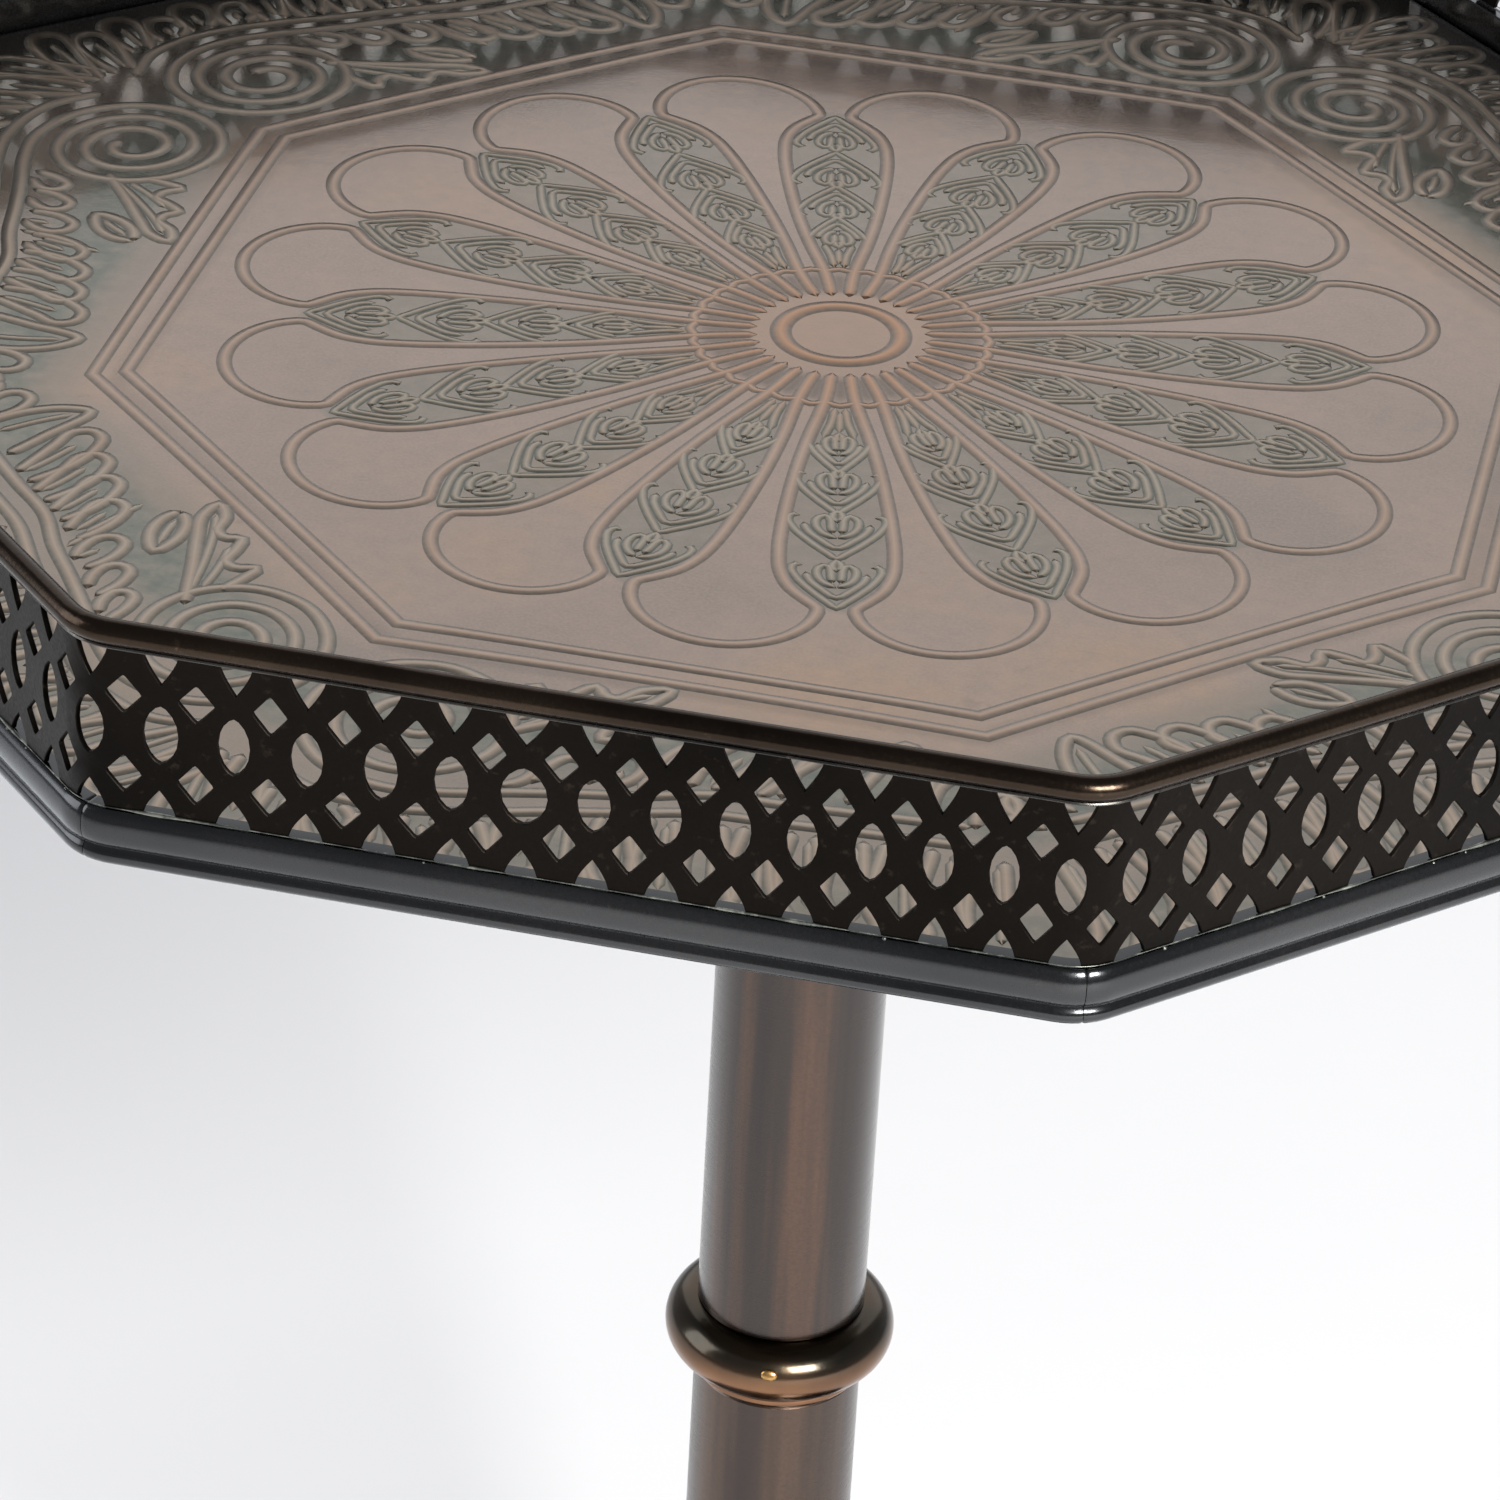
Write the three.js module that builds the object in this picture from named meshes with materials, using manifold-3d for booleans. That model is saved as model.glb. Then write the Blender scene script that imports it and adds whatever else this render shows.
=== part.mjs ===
// An octagonal tray table: an embossed sheet tray with a pierced gallery, on a round column with
// one ring collar, standing on a stepped octagonal base with an iron weight inside.
// Units are millimetres, +Z is up, and the origin is the centre of the base's underside.
import * as THREE from "three";
import { mergeVertices } from "three/addons/utils/BufferGeometryUtils.js";
import Module from "manifold-3d";

const wasm = await Module();
wasm.setup();

// ---- Driving dimensions -------------------------------------------------------------------------
const SIDES = 8;
const TRAY_FLATS = 406; // across the flats, over the gallery sheet
const TRAY_FLOOR_Z = 500; // top of the tray's floor
const FLOOR_THICKNESS = 1.2;
const GALLERY_SHEET = 1.0;
const RAIL_CENTRE_ABOVE_FLOOR = 40.6;
const RAIL_DIAMETER = 4.4;
const RAIL_CORNER_RADIUS = 12;
const RIM_ABOVE_FLOOR = 7.1; // the rim moulding's top, where the gallery stands
const RIM_HEIGHT = 11;
const RIM_BULGE = 1.4; // how far its upper bead stands out past the gallery
const RIM_SHELF = 5; // width of the ledge under the floor sheet
const PATTERN_PITCH = 11.66; // one oval to the next along the gallery
const OVAL_WIDTH = 5.5;
const OVAL_HEIGHT = 10.6;
const DIAMOND_WIDTH = 6.0;
const DIAMOND_HEIGHT = 7.3;
const UPPER_NOTCH_HEIGHT = 6.2;
const LOWER_NOTCH_HEIGHT = 4.8;
const POST_MARGIN = 3; // least metal between a hole and the panel's end

const TUBE_DIAMETER = 35;
const TUBE_WALL = 1.5;
const COLLAR_Z = 272; // middle of the ring collar
const COLLAR_RING_RADIUS = 6.8; // radius of the ring's round section
const COLLAR_DIAMETER = 48;
const FILLET_HEIGHT = 3.2; // small bead under the ring
const FILLET_STANDOUT = 1.1;
const SPIGOT_LENGTH = 15;
const BOSS_HEIGHT = 16.6; // from the column cap's top to the flange's top
const CAP_HEIGHT = 4;
const CAP_STANDOUT = 2.5;

const ROD_DIAMETER = 10;
const THREAD_ENGAGEMENT = 9; // of the rod's end in the tray's boss
const NUT_ACROSS_FLATS = 17;
const NUT_HEIGHT = 5;
const SEAT_WASHER_THICKNESS = 1.7;
const FLANGE_DIAMETER = 96;
const FLANGE_EDGE = 4;

const BASE_FLATS = 280;
const BASE_SHELL_THICKNESS = 1.6;
const BASE_TOP_Z = 57; // top of the shell, where the foot collar stands
const BASE_RIM_HEIGHT = 7;
const BASE_STEP = 9; // ledge above the base's rim
const FELT_THICKNESS = 2;
const PLATE_THICKNESS = 2;
const FELT_INSET = 8;
const WEIGHT_HEIGHT = 20;
const WEIGHT_RECESS_RADIUS = 15;
const WEIGHT_RECESS_DEPTH = 9;
const ROD_WASHER_THICKNESS = 1.6;
const ROD_WASHER_DIAMETER = 26;
const FOOT_COLLAR_HEIGHT = 23;
const FOOT_COLLAR_DIAMETER = 56;
const SCREW_COUNT = 4;
const SCREW_CIRCLE_RADIUS = 60;
const SCREW_DIAMETER = 4;
const SCREW_HEAD_DIAMETER = 8;
const SCREW_LENGTH = 9;

// ---- Clearances ---------------------------------------------------------------------------------
const SEAM = 0.2; // between faces that touch
const MITRE_GAP = 0.3; // between neighbours at a mitre
const SPIGOT_CLEARANCE = 0.3; // radial, spigot in tube
const THREAD_CLEARANCE = 0.3; // radial, the threads are left plain
const HOLE_CLEARANCE = 0.5; // radial, rod or screw in a plain hole
const EDGE_CLEARANCE = 0.4; // floor sheet inside the rim

// ---- Derived dimensions -------------------------------------------------------------------------
const HALF_CORNER = Math.PI / SIDES;
const galleryApothem = TRAY_FLATS / 2;
const railRadius = RAIL_DIAMETER / 2;
const railApothem = galleryApothem - GALLERY_SHEET / 2;
const rimTopZ = TRAY_FLOOR_Z + RIM_ABOVE_FLOOR;
const rimBottomZ = rimTopZ - RIM_HEIGHT;
const rimLipApothem = railApothem - railRadius - 0.3; // the rail doesn't overhang the floor
const floorApothem = rimLipApothem - EDGE_CLEARANCE;
const floorBottomZ = TRAY_FLOOR_Z - FLOOR_THICKNESS;
const galleryBottomZ = rimTopZ + SEAM;
const railCentreZ = TRAY_FLOOR_Z + RAIL_CENTRE_ABOVE_FLOOR;
const railFlat = railRadius * Math.cos(Math.PI / 8);
const galleryTopZ = railCentreZ - railFlat - SEAM;

const tubeRadius = TUBE_DIAMETER / 2;
const tubeBore = tubeRadius - TUBE_WALL;
const spigotRadius = tubeBore - SPIGOT_CLEARANCE;
const rodRadius = ROD_DIAMETER / 2;
const rodHole = rodRadius + HOLE_CLEARANCE;
const flangeTopZ = floorBottomZ - SEAM;
const capTopZ = flangeTopZ - BOSS_HEIGHT;
const collarTopZ = COLLAR_Z + COLLAR_RING_RADIUS;
const collarBottomZ = COLLAR_Z - COLLAR_RING_RADIUS;
const filletBottomZ = collarBottomZ - FILLET_HEIGHT;
const capUnderZ = capTopZ - CAP_HEIGHT;
const capRadius = tubeRadius + CAP_STANDOUT;
const nutRadius = NUT_ACROSS_FLATS / 2 / Math.cos(Math.PI / 6);
const capNutZ = capTopZ + SEAM;
const nutRoom = nutRadius + 3; // room for the nut inside the washer and the boss
const seatWasherZ = capTopZ + SEAM;
const skirtZ = seatWasherZ + SEAT_WASHER_THICKNESS + SEAM;
const threadZ = flangeTopZ - THREAD_ENGAGEMENT - SEAM;
const rodTopZ = flangeTopZ - SEAM;

const baseApothem = BASE_FLATS / 2;
const plateZ = FELT_THICKNESS + SEAM;
const plateTopZ = plateZ + PLATE_THICKNESS;
const weightZ = plateTopZ + SEAM;
const weightTopZ = weightZ + WEIGHT_HEIGHT;
const recessTopZ = weightZ + WEIGHT_RECESS_DEPTH;
const rodWasherZ = recessTopZ - SEAM - ROD_WASHER_THICKNESS;
const rodNutZ = rodWasherZ - SEAM - NUT_HEIGHT;
const footCollarZ = BASE_TOP_Z + SEAM;
const footCollarTopZ = footCollarZ + FOOT_COLLAR_HEIGHT;
const lowerTubeZ = footCollarTopZ + SEAM;

// ---- Materials ----------------------------------------------------------------------------------
function metal(color, roughness) {
  return new THREE.MeshStandardMaterial({ color, roughness, metalness: 1 });
}
const FINISH = {
  floor: metal(0x8f7d74, 0.45),
  gallery: metal(0x2b2320, 0.5),
  moulding: metal(0x3a3432, 0.35),
  column: metal(0x5a4238, 0.3),
  collar: metal(0x7a5a3c, 0.3),
  steel: metal(0x9a9a98, 0.4),
  iron: metal(0x35332f, 0.8),
  fibre: new THREE.MeshStandardMaterial({ color: 0x5b2f22, roughness: 0.9, metalness: 0 }),
  felt: new THREE.MeshStandardMaterial({ color: 0x1f3a2c, roughness: 1, metalness: 0 }),
};

// ---- Shape helpers ------------------------------------------------------------------------------
const table = new THREE.Group();
const vec2 = (points) => points.map(([x, y]) => new THREE.Vector2(x, y));

function add(name, geometry, material, group = table) {
  const mesh = new THREE.Mesh(geometry, material);
  mesh.name = name;
  group.add(mesh);
  return mesh;
}

// A solid of revolution about Z. The outline is a closed loop of [radius, z], anticlockwise.
function turned(outline, segments = 28) {
  const loop = vec2([...outline, outline[0]]);
  return new THREE.LatheGeometry(loop, segments).rotateX(Math.PI / 2);
}

// An eight-sided ring or frustum. The outline is a closed loop of [apothem, z], anticlockwise.
function octagonal(outline) {
  const reach = 1 / Math.cos(HALF_CORNER);
  const corners = outline.map(([apothem, z]) => [apothem * reach, z]);
  return turned(corners, SIDES).rotateZ(HALF_CORNER);
}

function tube(outer, inner, z0, z1, segments = 28) {
  return turned([[inner, z0], [outer, z0], [outer, z1], [inner, z1]], segments);
}

function rod(radius, z0, z1, segments = 24) {
  return new THREE.CylinderGeometry(radius, radius, z1 - z0, segments)
    .rotateX(Math.PI / 2)
    .translate(0, 0, (z0 + z1) / 2);
}

function hexNut(z) {
  const corners = Array.from({ length: 6 }, (_, k) => (k * Math.PI) / 3);
  const outline = corners.map((a) => [nutRadius * Math.cos(a), nutRadius * Math.sin(a)]);
  const shape = new THREE.Shape(vec2(outline));
  shape.holes.push(new THREE.Path().absarc(0, 0, rodRadius + THREAD_CLEARANCE, 0, 2 * Math.PI, true));
  return new THREE.ExtrudeGeometry(shape, { depth: NUT_HEIGHT, bevelEnabled: false, curveSegments: 10 })
    .translate(0, 0, z);
}

function toSolid(geometry) {
  const bare = geometry.clone();
  bare.deleteAttribute("normal");
  bare.deleteAttribute("uv");
  const merged = mergeVertices(bare, 1e-3);
  return new wasm.Manifold(new wasm.Mesh({
    numProp: 3,
    vertProperties: merged.attributes.position.array,
    triVerts: new Uint32Array(merged.index.array),
  }));
}

function cut(geometry, cutters) {
  const rest = cutters.reduce((solid, cutter) => solid.subtract(toSolid(cutter)), toSolid(geometry));
  const { vertProperties, triVerts } = rest.getMesh();
  return new THREE.BufferGeometry()
    .setAttribute("position", new THREE.BufferAttribute(vertProperties, 3))
    .setIndex(new THREE.BufferAttribute(triVerts, 1));
}

// A straight bar of the given [apothem, z] section along the tray's side that faces +X. Both ends
// are cut to the mitre planes, so a point twice as far out ends twice as far along the side.
function mitredBar(section) {
  const endOf = (apothem) => apothem * Math.tan(HALF_CORNER) - MITRE_GAP / 2;
  const count = section.length;
  const ends = [-1, 1].flatMap((end) => section.map(([a, z]) => [a, end * endOf(a), z]));
  const faces = THREE.ShapeUtils.triangulateShape(vec2(section), []);
  const index = faces.flatMap(([i, j, k]) => [i, j, k, k + count, j + count, i + count]);
  for (let i = 0; i < count; i++) {
    const next = (i + 1) % count;
    index.push(i, i + count, next, next, i + count, next + count);
  }
  return new THREE.BufferGeometry()
    .setAttribute("position", new THREE.Float32BufferAttribute(ends.flat(), 3))
    .setIndex(index);
}

// The eight copies around the tray: side k faces the direction k * 45 degrees.
function aroundTray(name, geometry, material) {
  for (let k = 0; k < SIDES; k++) {
    add(`${name}_${k + 1}`, geometry, material).rotation.z = 2 * HALF_CORNER * k;
  }
}

// ---- Tray ---------------------------------------------------------------------------------------
function trayFloor() {
  return octagonal([
    [0, floorBottomZ],
    [floorApothem, floorBottomZ],
    [floorApothem, TRAY_FLOOR_Z],
    [0, TRAY_FLOOR_Z],
  ]);
}

// Two beads with a groove between them outside, a ledge under the floor sheet and a lip inside it.
function rimSection() {
  const face = galleryApothem;
  const grooveZ = rimTopZ - RIM_HEIGHT / 2;
  const ledgeZ = floorBottomZ - SEAM;
  return [
    [rimLipApothem - RIM_SHELF, rimBottomZ],
    [face - 1.3, rimBottomZ],
    [face + RIM_BULGE / 2, rimBottomZ + 1.8],
    [face + RIM_BULGE * 0.7, grooveZ - 1.4],
    [face, grooveZ],
    [face + RIM_BULGE, grooveZ + 1.4],
    [face + RIM_BULGE, rimTopZ - 1.8],
    [face, rimTopZ],
    [rimLipApothem, rimTopZ],
    [rimLipApothem, ledgeZ],
    [rimLipApothem - RIM_SHELF, ledgeZ],
  ];
}

// The pierced sheet of one side: upright ovals, diamonds between them in two rows, and
// three-cornered notches at the top and bottom edges in line with the ovals.
function galleryPanel() {
  const height = galleryTopZ - galleryBottomZ;
  const halfLength = galleryApothem * Math.tan(HALF_CORNER) - MITRE_GAP / 2;
  const columns = 2 * Math.floor((halfLength - POST_MARGIN - OVAL_WIDTH / 2) / PATTERN_PITCH + 0.5);
  const columnX = (k) => (k - (columns - 1) / 2) * PATTERN_PITCH;
  const ovalZ = height / 2;
  const diamondZ = ovalZ / 2 + LOWER_NOTCH_HEIGHT / 4;
  const ring = (x, z, w, h, n) => Array.from({ length: n }, (_, i) => {
    const angle = Math.PI / 2 - (2 * Math.PI * i) / n;
    return [x + (w / 2) * Math.cos(angle), z + (h / 2) * Math.sin(angle)];
  });

  const notch = (x, w, z0, z1) => [[x - w / 2, z0], [x, z1], [x + w / 2, z0]];
  const order = Array.from({ length: columns }, (_, k) => k);
  const lower = order.flatMap((k) => notch(columnX(k), OVAL_WIDTH, 0, LOWER_NOTCH_HEIGHT));
  const upper = order.flatMap((k) => notch(columnX(k), DIAMOND_WIDTH, height, height - UPPER_NOTCH_HEIGHT));
  const outline = [
    [-halfLength, 0],
    ...lower,
    [halfLength, 0],
    [halfLength, height],
    ...upper.reverse(),
    [-halfLength, height],
  ];
  const shape = new THREE.Shape(vec2(outline));
  for (const k of order) {
    shape.holes.push(new THREE.Path(vec2(ring(columnX(k), ovalZ, OVAL_WIDTH * 1.1, OVAL_HEIGHT, 6))));
    if (k === columns - 1) continue;
    for (const z of [diamondZ, height - diamondZ]) {
      shape.holes.push(new THREE.Path(vec2(ring(columnX(k + 0.5), z, DIAMOND_WIDTH, DIAMOND_HEIGHT, 4))));
    }
  }
  const panel = new THREE.ExtrudeGeometry(shape, { depth: GALLERY_SHEET, bevelEnabled: false });
  // Stand it up facing +X, and bring the ends of its inner face in to the mitre planes.
  panel.rotateX(Math.PI / 2).rotateZ(Math.PI / 2);
  panel.translate(galleryApothem - GALLERY_SHEET, 0, galleryBottomZ);
  const at = panel.attributes.position;
  for (let i = 0; i < at.count; i++) at.setY(i, (at.getY(i) * at.getX(i)) / galleryApothem);
  return panel;
}

// The bead along the gallery's top: one ring with rounded corners and an eight-sided section.
function topRail() {
  const cornerSteps = 3;
  const cornerCentre = (railApothem - RAIL_CORNER_RADIUS) / Math.cos(HALF_CORNER);
  const stations = [];
  for (let k = 0; k < SIDES; k++) {
    const middle = HALF_CORNER * (2 * k + 1);
    for (let i = 0; i <= cornerSteps; i++) {
      stations.push([middle, middle + HALF_CORNER * ((2 * i) / cornerSteps - 1)]);
    }
  }
  const points = stations.flatMap(([middle, facing]) => Array.from({ length: 8 }, (_, j) => {
    const around = HALF_CORNER * (2 * j + 1);
    const out = RAIL_CORNER_RADIUS + railRadius * Math.cos(around);
    return [
      cornerCentre * Math.cos(middle) + out * Math.cos(facing),
      cornerCentre * Math.sin(middle) + out * Math.sin(facing),
      railCentreZ + railRadius * Math.sin(around),
    ];
  }));
  const index = [];
  const at = (station, j) => (station % stations.length) * 8 + (j % 8);
  for (let s = 0; s < stations.length; s++) {
    for (let j = 0; j < 8; j++) {
      index.push(at(s, j), at(s + 1, j), at(s, j + 1), at(s, j + 1), at(s + 1, j), at(s + 1, j + 1));
    }
  }
  return new THREE.BufferGeometry()
    .setAttribute("position", new THREE.Float32BufferAttribute(points.flat(), 3))
    .setIndex(index);
}

// The turned flange soldered under the tray: a disc, a cove, a skirt round the nut, a threaded bore.
function trayFlange() {
  const threadRadius = rodRadius + THREAD_CLEARANCE;
  const flangeRadius = FLANGE_DIAMETER / 2;
  const discZ = flangeTopZ - FLANGE_EDGE;
  return turned([
    [threadRadius, threadZ],
    [nutRoom, threadZ],
    [nutRoom, skirtZ],
    [capRadius, skirtZ],
    [capRadius, skirtZ + 2.5],
    [capRadius + 3, discZ - 2.6],
    [capRadius + 10, discZ - 0.6],
    [flangeRadius, discZ + 0.6],
    [flangeRadius, flangeTopZ],
    [threadRadius, flangeTopZ],
  ]);
}

add("tray_floor", trayFloor(), FINISH.floor);
aroundTray("rim_moulding", mitredBar(rimSection()), FINISH.moulding);
aroundTray("gallery_panel", galleryPanel(), FINISH.gallery);
add("top_rail", topRail(), FINISH.moulding);
add("tray_flange", trayFlange(), FINISH.collar);
const seatWasherTopZ = seatWasherZ + SEAT_WASHER_THICKNESS;
add("seat_washer", tube(capRadius - 0.5, nutRoom, seatWasherZ, seatWasherTopZ), FINISH.fibre);

// ---- Column -------------------------------------------------------------------------------------
// A ring of round section between the two tubes, with a small bead below it and a spigot each way.
function ringCollar() {
  const ringCentre = COLLAR_DIAMETER / 2 - COLLAR_RING_RADIUS;
  const steps = 8;
  const ring = Array.from({ length: steps + 1 }, (_, i) => {
    const angle = -Math.PI / 2 + (Math.PI * i) / steps;
    return [ringCentre + COLLAR_RING_RADIUS * Math.cos(angle), COLLAR_Z + COLLAR_RING_RADIUS * Math.sin(angle)];
  });
  const filletRadius = tubeRadius + FILLET_STANDOUT;
  return turned([
    [rodHole, filletBottomZ - SPIGOT_LENGTH],
    [spigotRadius, filletBottomZ - SPIGOT_LENGTH],
    [spigotRadius, filletBottomZ],
    [tubeRadius, filletBottomZ],
    [filletRadius, filletBottomZ + FILLET_HEIGHT / 3],
    [filletRadius, collarBottomZ - 0.2],
    ...ring.filter(([radius]) => radius > filletRadius),
    [tubeRadius, collarTopZ - 0.2],
    [spigotRadius, collarTopZ],
    [spigotRadius, collarTopZ + SPIGOT_LENGTH],
    [rodHole, collarTopZ + SPIGOT_LENGTH],
  ]);
}

function columnCap() {
  return turned([
    [rodHole, capUnderZ - SPIGOT_LENGTH],
    [spigotRadius, capUnderZ - SPIGOT_LENGTH],
    [spigotRadius, capUnderZ],
    [capRadius - 1, capUnderZ],
    [capRadius, capUnderZ + 1],
    [capRadius, capTopZ],
    [rodHole, capTopZ],
  ]);
}

// The turned foot of the column: a flange on the base, a cove, a bead and a spigot in the tube.
function footCollar() {
  const flangeRadius = FOOT_COLLAR_DIAMETER / 2;
  const beadRadius = tubeRadius + 5.5;
  const waist = tubeRadius + 2;
  return turned([
    [rodHole, footCollarZ],
    [flangeRadius, footCollarZ],
    [flangeRadius, footCollarZ + 3],
    [waist + 3, footCollarZ + 5],
    [waist, footCollarZ + 10],
    [beadRadius - 1.5, footCollarZ + 11.5],
    [beadRadius, footCollarZ + 14.5],
    [beadRadius - 1.5, footCollarZ + 17.5],
    [waist, footCollarZ + 19],
    [tubeRadius + 0.5, footCollarTopZ],
    [spigotRadius, footCollarTopZ],
    [spigotRadius, footCollarTopZ + SPIGOT_LENGTH],
    [rodHole, footCollarTopZ + SPIGOT_LENGTH],
  ]);
}

add("column_cap", columnCap(), FINISH.collar);
add("cap_nut", hexNut(capNutZ), FINISH.steel);
add("upper_tube", tube(tubeRadius, tubeBore, collarTopZ + SEAM, capUnderZ - SEAM), FINISH.column);
add("ring_collar", ringCollar(), FINISH.collar);
add("lower_tube", tube(tubeRadius, tubeBore, lowerTubeZ, filletBottomZ - SEAM), FINISH.column);
add("foot_collar", footCollar(), FINISH.collar);
add("tie_rod", rod(rodRadius, rodNutZ - 1, rodTopZ), FINISH.steel);

// ---- Base ---------------------------------------------------------------------------------------
// The shell's outside: an upright rim, a ledge, then a hollow curve sweeping up to the foot collar.
function baseOutside() {
  const ledge = baseApothem - BASE_STEP;
  const rimTop = plateZ + BASE_RIM_HEIGHT;
  const foot = FOOT_COLLAR_DIAMETER / 2 + 8;
  const sweepSteps = 6;
  const sweepZ = rimTop + 7;
  const sweep = Array.from({ length: sweepSteps + 1 }, (_, i) => {
    const t = i / sweepSteps;
    return [foot + (ledge - 2 - foot) * (1 - t) ** 1.5, sweepZ + (BASE_TOP_Z - 3 - sweepZ) * t ** 1.25];
  });
  return [
    [baseApothem, plateZ],
    [baseApothem, rimTop],
    [baseApothem - 1.6, rimTop + 2],
    [baseApothem - 4.5, rimTop + 2.8],
    [ledge, rimTop + 3.2],
    [ledge - 0.6, rimTop + 5.5],
    ...sweep,
    [foot - 2, BASE_TOP_Z],
    [rodHole, BASE_TOP_Z],
  ];
}

// The same line moved in and down by the sheet's thickness is the inside, left open underneath.
function baseShell() {
  const outside = baseOutside();
  const inside = outside.map(([apothem, z], i) => {
    if (i === 0) return [apothem - BASE_SHELL_THICKNESS, z];
    if (i === outside.length - 1) return [apothem, z - BASE_SHELL_THICKNESS];
    return [apothem - BASE_SHELL_THICKNESS, z - BASE_SHELL_THICKNESS];
  });
  return octagonal([...outside, ...inside.reverse()]);
}

const screwPlaces = Array.from({ length: SCREW_COUNT }, (_, k) => {
  const angle = (2 * Math.PI * (k + 0.5)) / SCREW_COUNT;
  return [SCREW_CIRCLE_RADIUS * Math.cos(angle), SCREW_CIRCLE_RADIUS * Math.sin(angle)];
});
const atScrews = (geometry) => screwPlaces.map(([x, y]) => geometry.clone().translate(x, y, 0));

// The iron weight stays inside the shell's curve at its foot and at its top edge.
function baseWeight() {
  const outside = baseOutside();
  const roomAt = (z) => Math.min(...outside.filter(([a, pz]) => a > rodHole && pz <= z + 6).map(([a]) => a));
  const foot = roomAt(weightZ + WEIGHT_HEIGHT / 2) - BASE_SHELL_THICKNESS - 3;
  const top = roomAt(weightTopZ) - BASE_SHELL_THICKNESS - 3;
  const block = octagonal([
    [rodHole, recessTopZ],
    [WEIGHT_RECESS_RADIUS, recessTopZ],
    [WEIGHT_RECESS_RADIUS, weightZ],
    [foot, weightZ],
    [foot, weightZ + WEIGHT_HEIGHT / 2],
    [top, weightTopZ],
    [rodHole, weightTopZ],
  ]);
  const drill = rod(SCREW_DIAMETER / 2 + HOLE_CLEARANCE, weightZ - 1, weightZ + SCREW_LENGTH, 12);
  return cut(block, atScrews(drill));
}

function bottomPlate() {
  const plate = octagonal([
    [WEIGHT_RECESS_RADIUS, plateZ],
    [baseApothem - BASE_SHELL_THICKNESS - EDGE_CLEARANCE, plateZ],
    [baseApothem - BASE_SHELL_THICKNESS - EDGE_CLEARANCE, plateTopZ],
    [WEIGHT_RECESS_RADIUS, plateTopZ],
  ]);
  return cut(plate, atScrews(rod(SCREW_HEAD_DIAMETER / 2 + HOLE_CLEARANCE, plateZ - 1, plateTopZ + 1, 12)));
}

function feltPad() {
  return octagonal([
    [WEIGHT_RECESS_RADIUS, 0],
    [baseApothem - FELT_INSET, 0],
    [baseApothem - FELT_INSET, FELT_THICKNESS],
    [WEIGHT_RECESS_RADIUS, FELT_THICKNESS],
  ]);
}

function screw() {
  const head = SCREW_HEAD_DIAMETER / 2;
  const shank = SCREW_DIAMETER / 2;
  const tipZ = plateTopZ + SCREW_LENGTH - 1;
  return turned([
    [0, plateZ],
    [head, plateZ],
    [head, plateTopZ - 0.8],
    [shank, plateTopZ],
    [shank, tipZ],
    [0, tipZ],
  ], 12);
}

add("base_shell", baseShell(), FINISH.column);
const spacerTopZ = BASE_TOP_Z - BASE_SHELL_THICKNESS - SEAM;
add("rod_spacer", tube(rodHole + 3.5, rodHole, weightTopZ + SEAM, spacerTopZ, 24), FINISH.steel);
add("base_weight", baseWeight(), FINISH.iron);
const rodWasherTopZ = rodWasherZ + ROD_WASHER_THICKNESS;
add("rod_washer", tube(ROD_WASHER_DIAMETER / 2, rodHole, rodWasherZ, rodWasherTopZ, 24), FINISH.steel);
add("rod_nut", hexNut(rodNutZ), FINISH.steel);
add("bottom_plate", bottomPlate(), FINISH.steel);
add("base_felt", feltPad(), FINISH.felt);
atScrews(screw()).forEach((geometry, k) => add(`base_screw_${k + 1}`, geometry, FINISH.steel));

export default table;
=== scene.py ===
# %% [markdown]
# # A bronze tray table, octagonal, with a pierced gallery
# The real object is an embossed sheet-metal tray with a pierced gallery and a rolled rail, turning on
# a bronze column with one ring collar, over a weighted octagonal base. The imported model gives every
# size and place. This script only adds looks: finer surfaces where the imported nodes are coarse, the
# relief of the tray, and a worn, patinated finish for each metal. Sizes below are in millimetres.

# %% The frame
import math

import bpy
import numpy as np
from mathutils import Matrix, Vector


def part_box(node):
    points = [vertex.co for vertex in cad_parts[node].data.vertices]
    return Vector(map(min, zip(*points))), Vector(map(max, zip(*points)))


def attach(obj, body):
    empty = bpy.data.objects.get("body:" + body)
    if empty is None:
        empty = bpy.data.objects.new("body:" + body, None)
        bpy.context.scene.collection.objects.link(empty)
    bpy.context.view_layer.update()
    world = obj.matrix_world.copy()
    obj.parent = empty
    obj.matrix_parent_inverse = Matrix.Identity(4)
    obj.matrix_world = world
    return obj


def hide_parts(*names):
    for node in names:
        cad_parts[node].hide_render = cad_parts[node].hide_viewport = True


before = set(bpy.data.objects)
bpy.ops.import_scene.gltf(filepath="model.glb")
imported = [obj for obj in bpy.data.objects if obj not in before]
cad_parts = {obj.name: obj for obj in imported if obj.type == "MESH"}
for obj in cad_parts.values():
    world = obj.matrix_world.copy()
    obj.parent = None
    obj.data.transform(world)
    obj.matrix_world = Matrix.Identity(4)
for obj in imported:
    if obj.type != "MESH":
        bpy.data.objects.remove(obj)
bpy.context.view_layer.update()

# %% Sizes read from the frame
MM = 0.001
SIDES = 8
HALF_CORNER = math.pi / SIDES


def box_mm(node):
    """Lowest and highest corner of a node, in millimetres."""
    low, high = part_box(node)
    return np.array(low) / MM, np.array(high) / MM


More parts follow.
